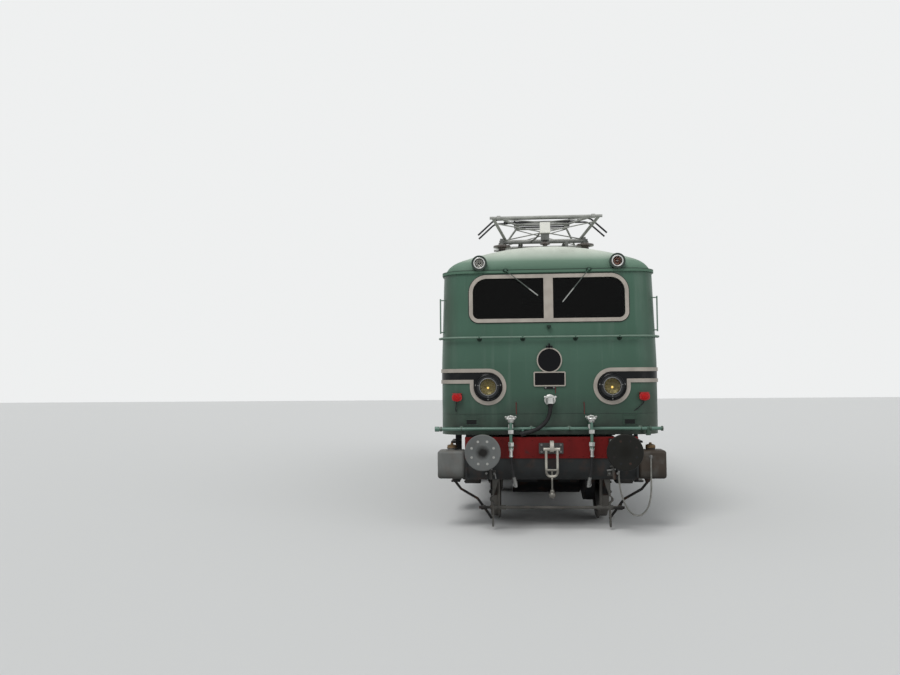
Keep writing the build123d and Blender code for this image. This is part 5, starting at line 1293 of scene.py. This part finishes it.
def pantograph_fittings(end):
    """Raising springs and links on the base, and the head's carbon pads."""
    springs, gear, pads = pieces(3, end)
    spring_z = PANTO_Z - 0.045
    for way in WAYS:
        for x in (-0.34, 0.34):
            near = Vector((x, PANTO_Y + way * 0.265, spring_z))
            far = Vector((x, PANTO_Y + way * 0.02, spring_z))
            springs.coil(near, far, 0.030, 11, 0.006, 6)
            gear.rod(far, far - OUT * way * 0.03, 0.026)
            gear.rod(near, near + OUT * way * 0.05, 0.010)
    gear.pin((0, PANTO_Y, spring_z), 0.40, 0.017)
    gear.block((-0.09, PANTO_Y - 0.20, PANTO_Z - 0.13), (0.09, PANTO_Y + 0.20, PANTO_Z - 0.065))
    for x in (-0.3, 0.3):
        gear.pin((x, PANTO_Y, PANTO_Z - 0.085), 0.3, 0.020)
    springs.done("panto_springs", "steel", "spring_steel")
    gear.done("panto_base_gear", "arm", "pantograph_paint", bevel=0.002)
    knee_out = SHAFT_OUT + ARM * cos(LOWER_SLOPE)
    strip_top = PANTO_Z + ARM * sin(LOWER_SLOPE) + (knee_out - HEAD_OUT) * tan(UPPER_SLOPE) + 0.108
    for y in (PANTO_Y - 0.17, PANTO_Y + 0.17):
        for k in range(6):
            x = -0.5 + 0.2 * k
            pads.block((x - 0.097, y - 0.034, strip_top - 0.016), (x + 0.097, y + 0.034, strip_top + 0.0004))
    pads.done("contact_strips", "carbon", "coupling_metal", "panto_head", bevel=0.002)


# Bogies

AXLES = (PIVOT_Y - WHEELBASE_HALF, PIVOT_Y + WHEELBASE_HALF)
SPRING_SEAT_Z = AXLE_Z - 0.05
ARCH_Z = RAIL + 0.872
SPRING_X = 1.055
SAND_Y = 5.645
GUARD_Y = 5.70
GUARD_Z = RAIL + 0.27
CATCH_X = 0.80
CATCH_Z = RAIL + 0.80
CYLINDER_X = 1.165
CYLINDER_Z = RAIL + 0.86
CYLINDER_OFF = 0.47
CONDUIT_X = 1.108
CONDUIT_HALF = 1.9
AXLE_CAP = ((0.112, -0.006), (0.112, 0.008), (0.09, 0.014), (0.062, 0.02), (0.0005, 0.024))
SAND_CAP = ((0.063, -0.020), (0.063, -0.002), (0.045, 0.008), (0.02, 0.012), (0.018, 0.03), (0.0005, 0.034))


def bogie_springs(end):
    """Coil springs in cups over the axle boxes."""
    coils = Piece(end)
    for axle in AXLES:
        for x, dy in corners(SPRING_X, 0.24):
            y = axle + dy
            coils.coil((x, y, SPRING_SEAT_Z + 0.03), (x, y, ARCH_Z - 0.03), 0.056, 6, 0.0125, 8)
            coils.lathe([(0.069, 0), (0.069, 0.012), (0.044, 0.03)], (x, y, SPRING_SEAT_Z), UP, 24)
            coils.lathe([(0.069, 0), (0.069, 0.014), (0.044, 0.032)], (x, y, ARCH_Z), -UP, 24)
            coils.post(x, y, SPRING_SEAT_Z, ARCH_Z, 0.022)
    made = coils.done("coil_springs", "spring", "spring_steel", "bogie", crease=60)
    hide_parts(f"{end}_springs")


def bogie_fittings(end):
    """Axle box covers and bolts, brake pins, sand pipes and caps, and what hangs from the headstock."""
    iron, brass, catches = pieces(3, end)
    for x in WAYS:
        out = ACROSS * x
        for y in AXLES:
            cap = Vector((x * 1.216, y, AXLE_Z))
            iron.lathe(AXLE_CAP, cap, out, 36)
            for c, q in around(6):
                iron.bolt(cap + Vector((0, c, q)) * 0.097, 0.012, out)
            for dy, dz in corners(0.125, 0.125):
                iron.bolt((x * 1.19, y + dy, AXLE_Z + dz), 0.014, out)
            for way in WAYS:
                shoe_y = y + way * (WHEEL_R + 0.072)
                iron.pin((x * 0.80, shoe_y, AXLE_Z - 0.19), 0.02, 0.03, OUT)
                iron.bolt((x * 0.815, shoe_y, AXLE_Z - 0.06), 0.015, out)
        pipe = [(x * far, SAND_Y - back, RAIL + up) for far, back, up in (
            (1.27, 0, 0.66), (1.27, 0, 0.60), (1.20, 0.05, 0.50), (0.98, 0.12, 0.36), (0.85, 0.22, 0.16),
            (0.80, 0.27, 0.075))]
        iron.tube(pipe, 0.017, sides=10)
        iron.rod(pipe[1], pipe[0], 0.030, 0.05)
        cap = Vector((x * 1.316, SAND_Y, RAIL + 1.087))
        brass.lathe(SAND_CAP, cap, UP, 28)
        brass.ring(cap - UP * 0.03, 0.063, 0.006, UP, steps=28, sides=8)
        for far, half in ((0.63, 0.03), (0.765, 0.045), (0.90, 0.03)):
            iron.pin((x * far, GUARD_Y, GUARD_Z), half, 0.031)
            iron.bolt((x * far, GUARD_Y + 0.026, GUARD_Z), 0.012)
    for k in range(9):
        iron.rivet((-0.88 + 0.22 * k, HEADSTOCK_Y - 0.02, HEADSTOCK_Z[0] - 0.022), 0.010)
    for x in (-CATCH_X, CATCH_X):
        y, z = HEADSTOCK_Y, CATCH_Z
        iron.rod((x, y - 0.05, z), (x, y + 0.01, z), 0.035, sides=6)
        iron.tube([(x, y + 0.01, z), (x, y + 0.035, z - 0.03), (x + 0.01, y + 0.035, z - 0.14)], 0.020)
        iron.pin((x, y + 0.018, z + 0.025), 0.045, 0.011)
        iron.block((x - 0.075, y - 0.05, z - 0.10), (x + 0.075, y, z - 0.025))
        catches.rod((x - 0.085, y + 0.025, z - 0.025), (x + 0.03, y + 0.025, z - 0.01), 0.010)
        catches.ball((x + 0.05, y + 0.02, z - 0.065), 0.016)
        catches.rod((x + 0.06, y + 0.012, z - 0.06), (x + 0.075, y + 0.012, z - 0.135), 0.009)
        catches.bolt((x - 0.05, y, z - 0.065), 0.013)
    catches.done("bogie_catches", "steel", "brake_iron", "bogie")
    iron.done("bogie_iron", "gear", "brake_iron", "bogie")
    brass.done("sandbox_caps", "brass", "coupling_metal", "bogie")


def bogie_brakes(end):
    """Brake cylinders, their pipes and a cable conduit along each bogie side."""
    iron = Piece(end)
    z = CYLINDER_Z
    for x in WAYS:
        cx = x * CYLINDER_X
        for way in WAYS:
            y = PIVOT_Y + way * CYLINDER_OFF
            iron.pin((cx, y, z), 0.13, 0.062, OUT, 28)
            for flange in WAYS:
                iron.pin((cx, y + flange * 0.115, z), 0.015, 0.072, OUT, 28)
                for c, q in around(6):
                    iron.bolt((cx + c * 0.063, y + flange * 0.13, z + q * 0.063), 0.006, OUT * flange)
            iron.block((x * 1.095, y - 0.07, RAIL + 0.80), (x * 1.12, y + 0.07, RAIL + 0.92))
            iron.rod((cx, y - way * 0.13, z), (cx, y - way * 0.27, z), 0.016)
            branch = ((CONDUIT_X, 0.985), (1.13, 0.96), (1.15, 0.925))
            iron.tube([(x * far, y, RAIL + up) for far, up in branch], 0.007)
        for up, radius, sides in ((1.01, 0.010, 10), (0.985, 0.007, 8)):
            run = [(x * CONDUIT_X, PIVOT_Y + y, RAIL + up) for y in (-CONDUIT_HALF, CONDUIT_HALF)]
            iron.tube(run, radius, sides)
        for k in range(-4, 5):
            y = PIVOT_Y + 0.44 * k
            iron.block((x * 1.096, y - 0.012, RAIL + 0.974), (x * 1.123, y + 0.012, RAIL + 1.024))
        axle_y = AXLES[0]
        iron.rod((x * 1.225, axle_y, AXLE_Z), (x * 1.262, axle_y, AXLE_Z), 0.036, 0.030)
        cable = ((1.255, 0, 0), (1.262, 0.05, 0.08), (1.225, 0.07, 0.19), (1.15, 0.07, 0.28),
                 (1.11, 0.07, 0.34))
        iron.tube([(x * far, axle_y + along, AXLE_Z + up) for far, along, up in cable], 0.011)
    iron.done("brake_cylinders", "gear", "brake_iron", "bogie")


def wheel_fittings():
    """Hub bolts on the wheels' outer faces."""
    for name, y in (("front_outer", -AXLES[1]), ("front_inner", -AXLES[0]), ("rear_inner", AXLES[0]),
                    ("rear_outer", AXLES[1])):
        bolts = Piece()
        for x in WAYS:
            for c, q in around(8):
                bolts.bolt((x * 0.786, y + 0.125 * c, AXLE_Z + 0.125 * q), 0.012, ACROSS * x)
        bolts.done(f"wheel_bolts_{name}", "steel", "wheel_steel", f"wheelset_{name}")


def underfloor_fittings():
    """Battery box lids with hinges, catches and ribs, and the reservoirs' ends and drains."""
    lids, small, tanks = pieces(3)
    tank_z = SKIRT_Z - 0.26
    for x in WAYS:
        face = x * 1.38
        lid = face + x * 0.014
        for y in (-0.56, 0.0, 0.56):
            lids.block((face, y - 0.255, RAIL + 0.50), (lid, y + 0.255, RAIL + 1.15))
            for dy in (-0.17, 0.17):
                small.pin((face + x * 0.016, y + dy, RAIL + 1.15), 0.04, 0.012, OUT)
            small.block((lid, y - 0.03, RAIL + 0.55), (face + x * 0.034, y + 0.03, RAIL + 0.62))
            for k in range(4):
                lids.pin((lid, y, RAIL + 0.93 + 0.045 * k), 0.15, 0.009, OUT, 10)
        for y in (-0.42, 0.42):
            for dy in (-0.388, 0.388):
                tanks.ball((x * 0.33, y + dy, tank_z), 0.189, (1, 0.12, 1))
            tanks.post(x * 0.33, y, tank_z - 0.215, tank_z - 0.185, 0.02)
    lids.done("battery_lids", "under", "underframe_paint", bevel=0.004)
    small.done("battery_catches", "steel", "rail_steel", bevel=0.002)
    tanks.done("reservoir_ends", "under", "underframe_paint")


make_camera()
make_studio()
dress_nodes()
for end_name in ENDS:
    for build in (headlamps, marker_lamps, plaque_fixings, tail_lamps, buffer_rivets, cocks, jumper_plug,
                  lifting_slots, rail_brackets, windscreen_gaskets, hoses, cab_inside, pantograph_fittings,
                  bogie_springs, bogie_fittings, bogie_brakes):
        build(end_name)
    for side_name in SIDES:
        door_fittings(end_name, side_name)
for build in (loose_cable, louvre_filters, side_trim, side_seams, roof_fittings, roof_insulators,
              wheel_fittings, underfloor_fittings):
    build()
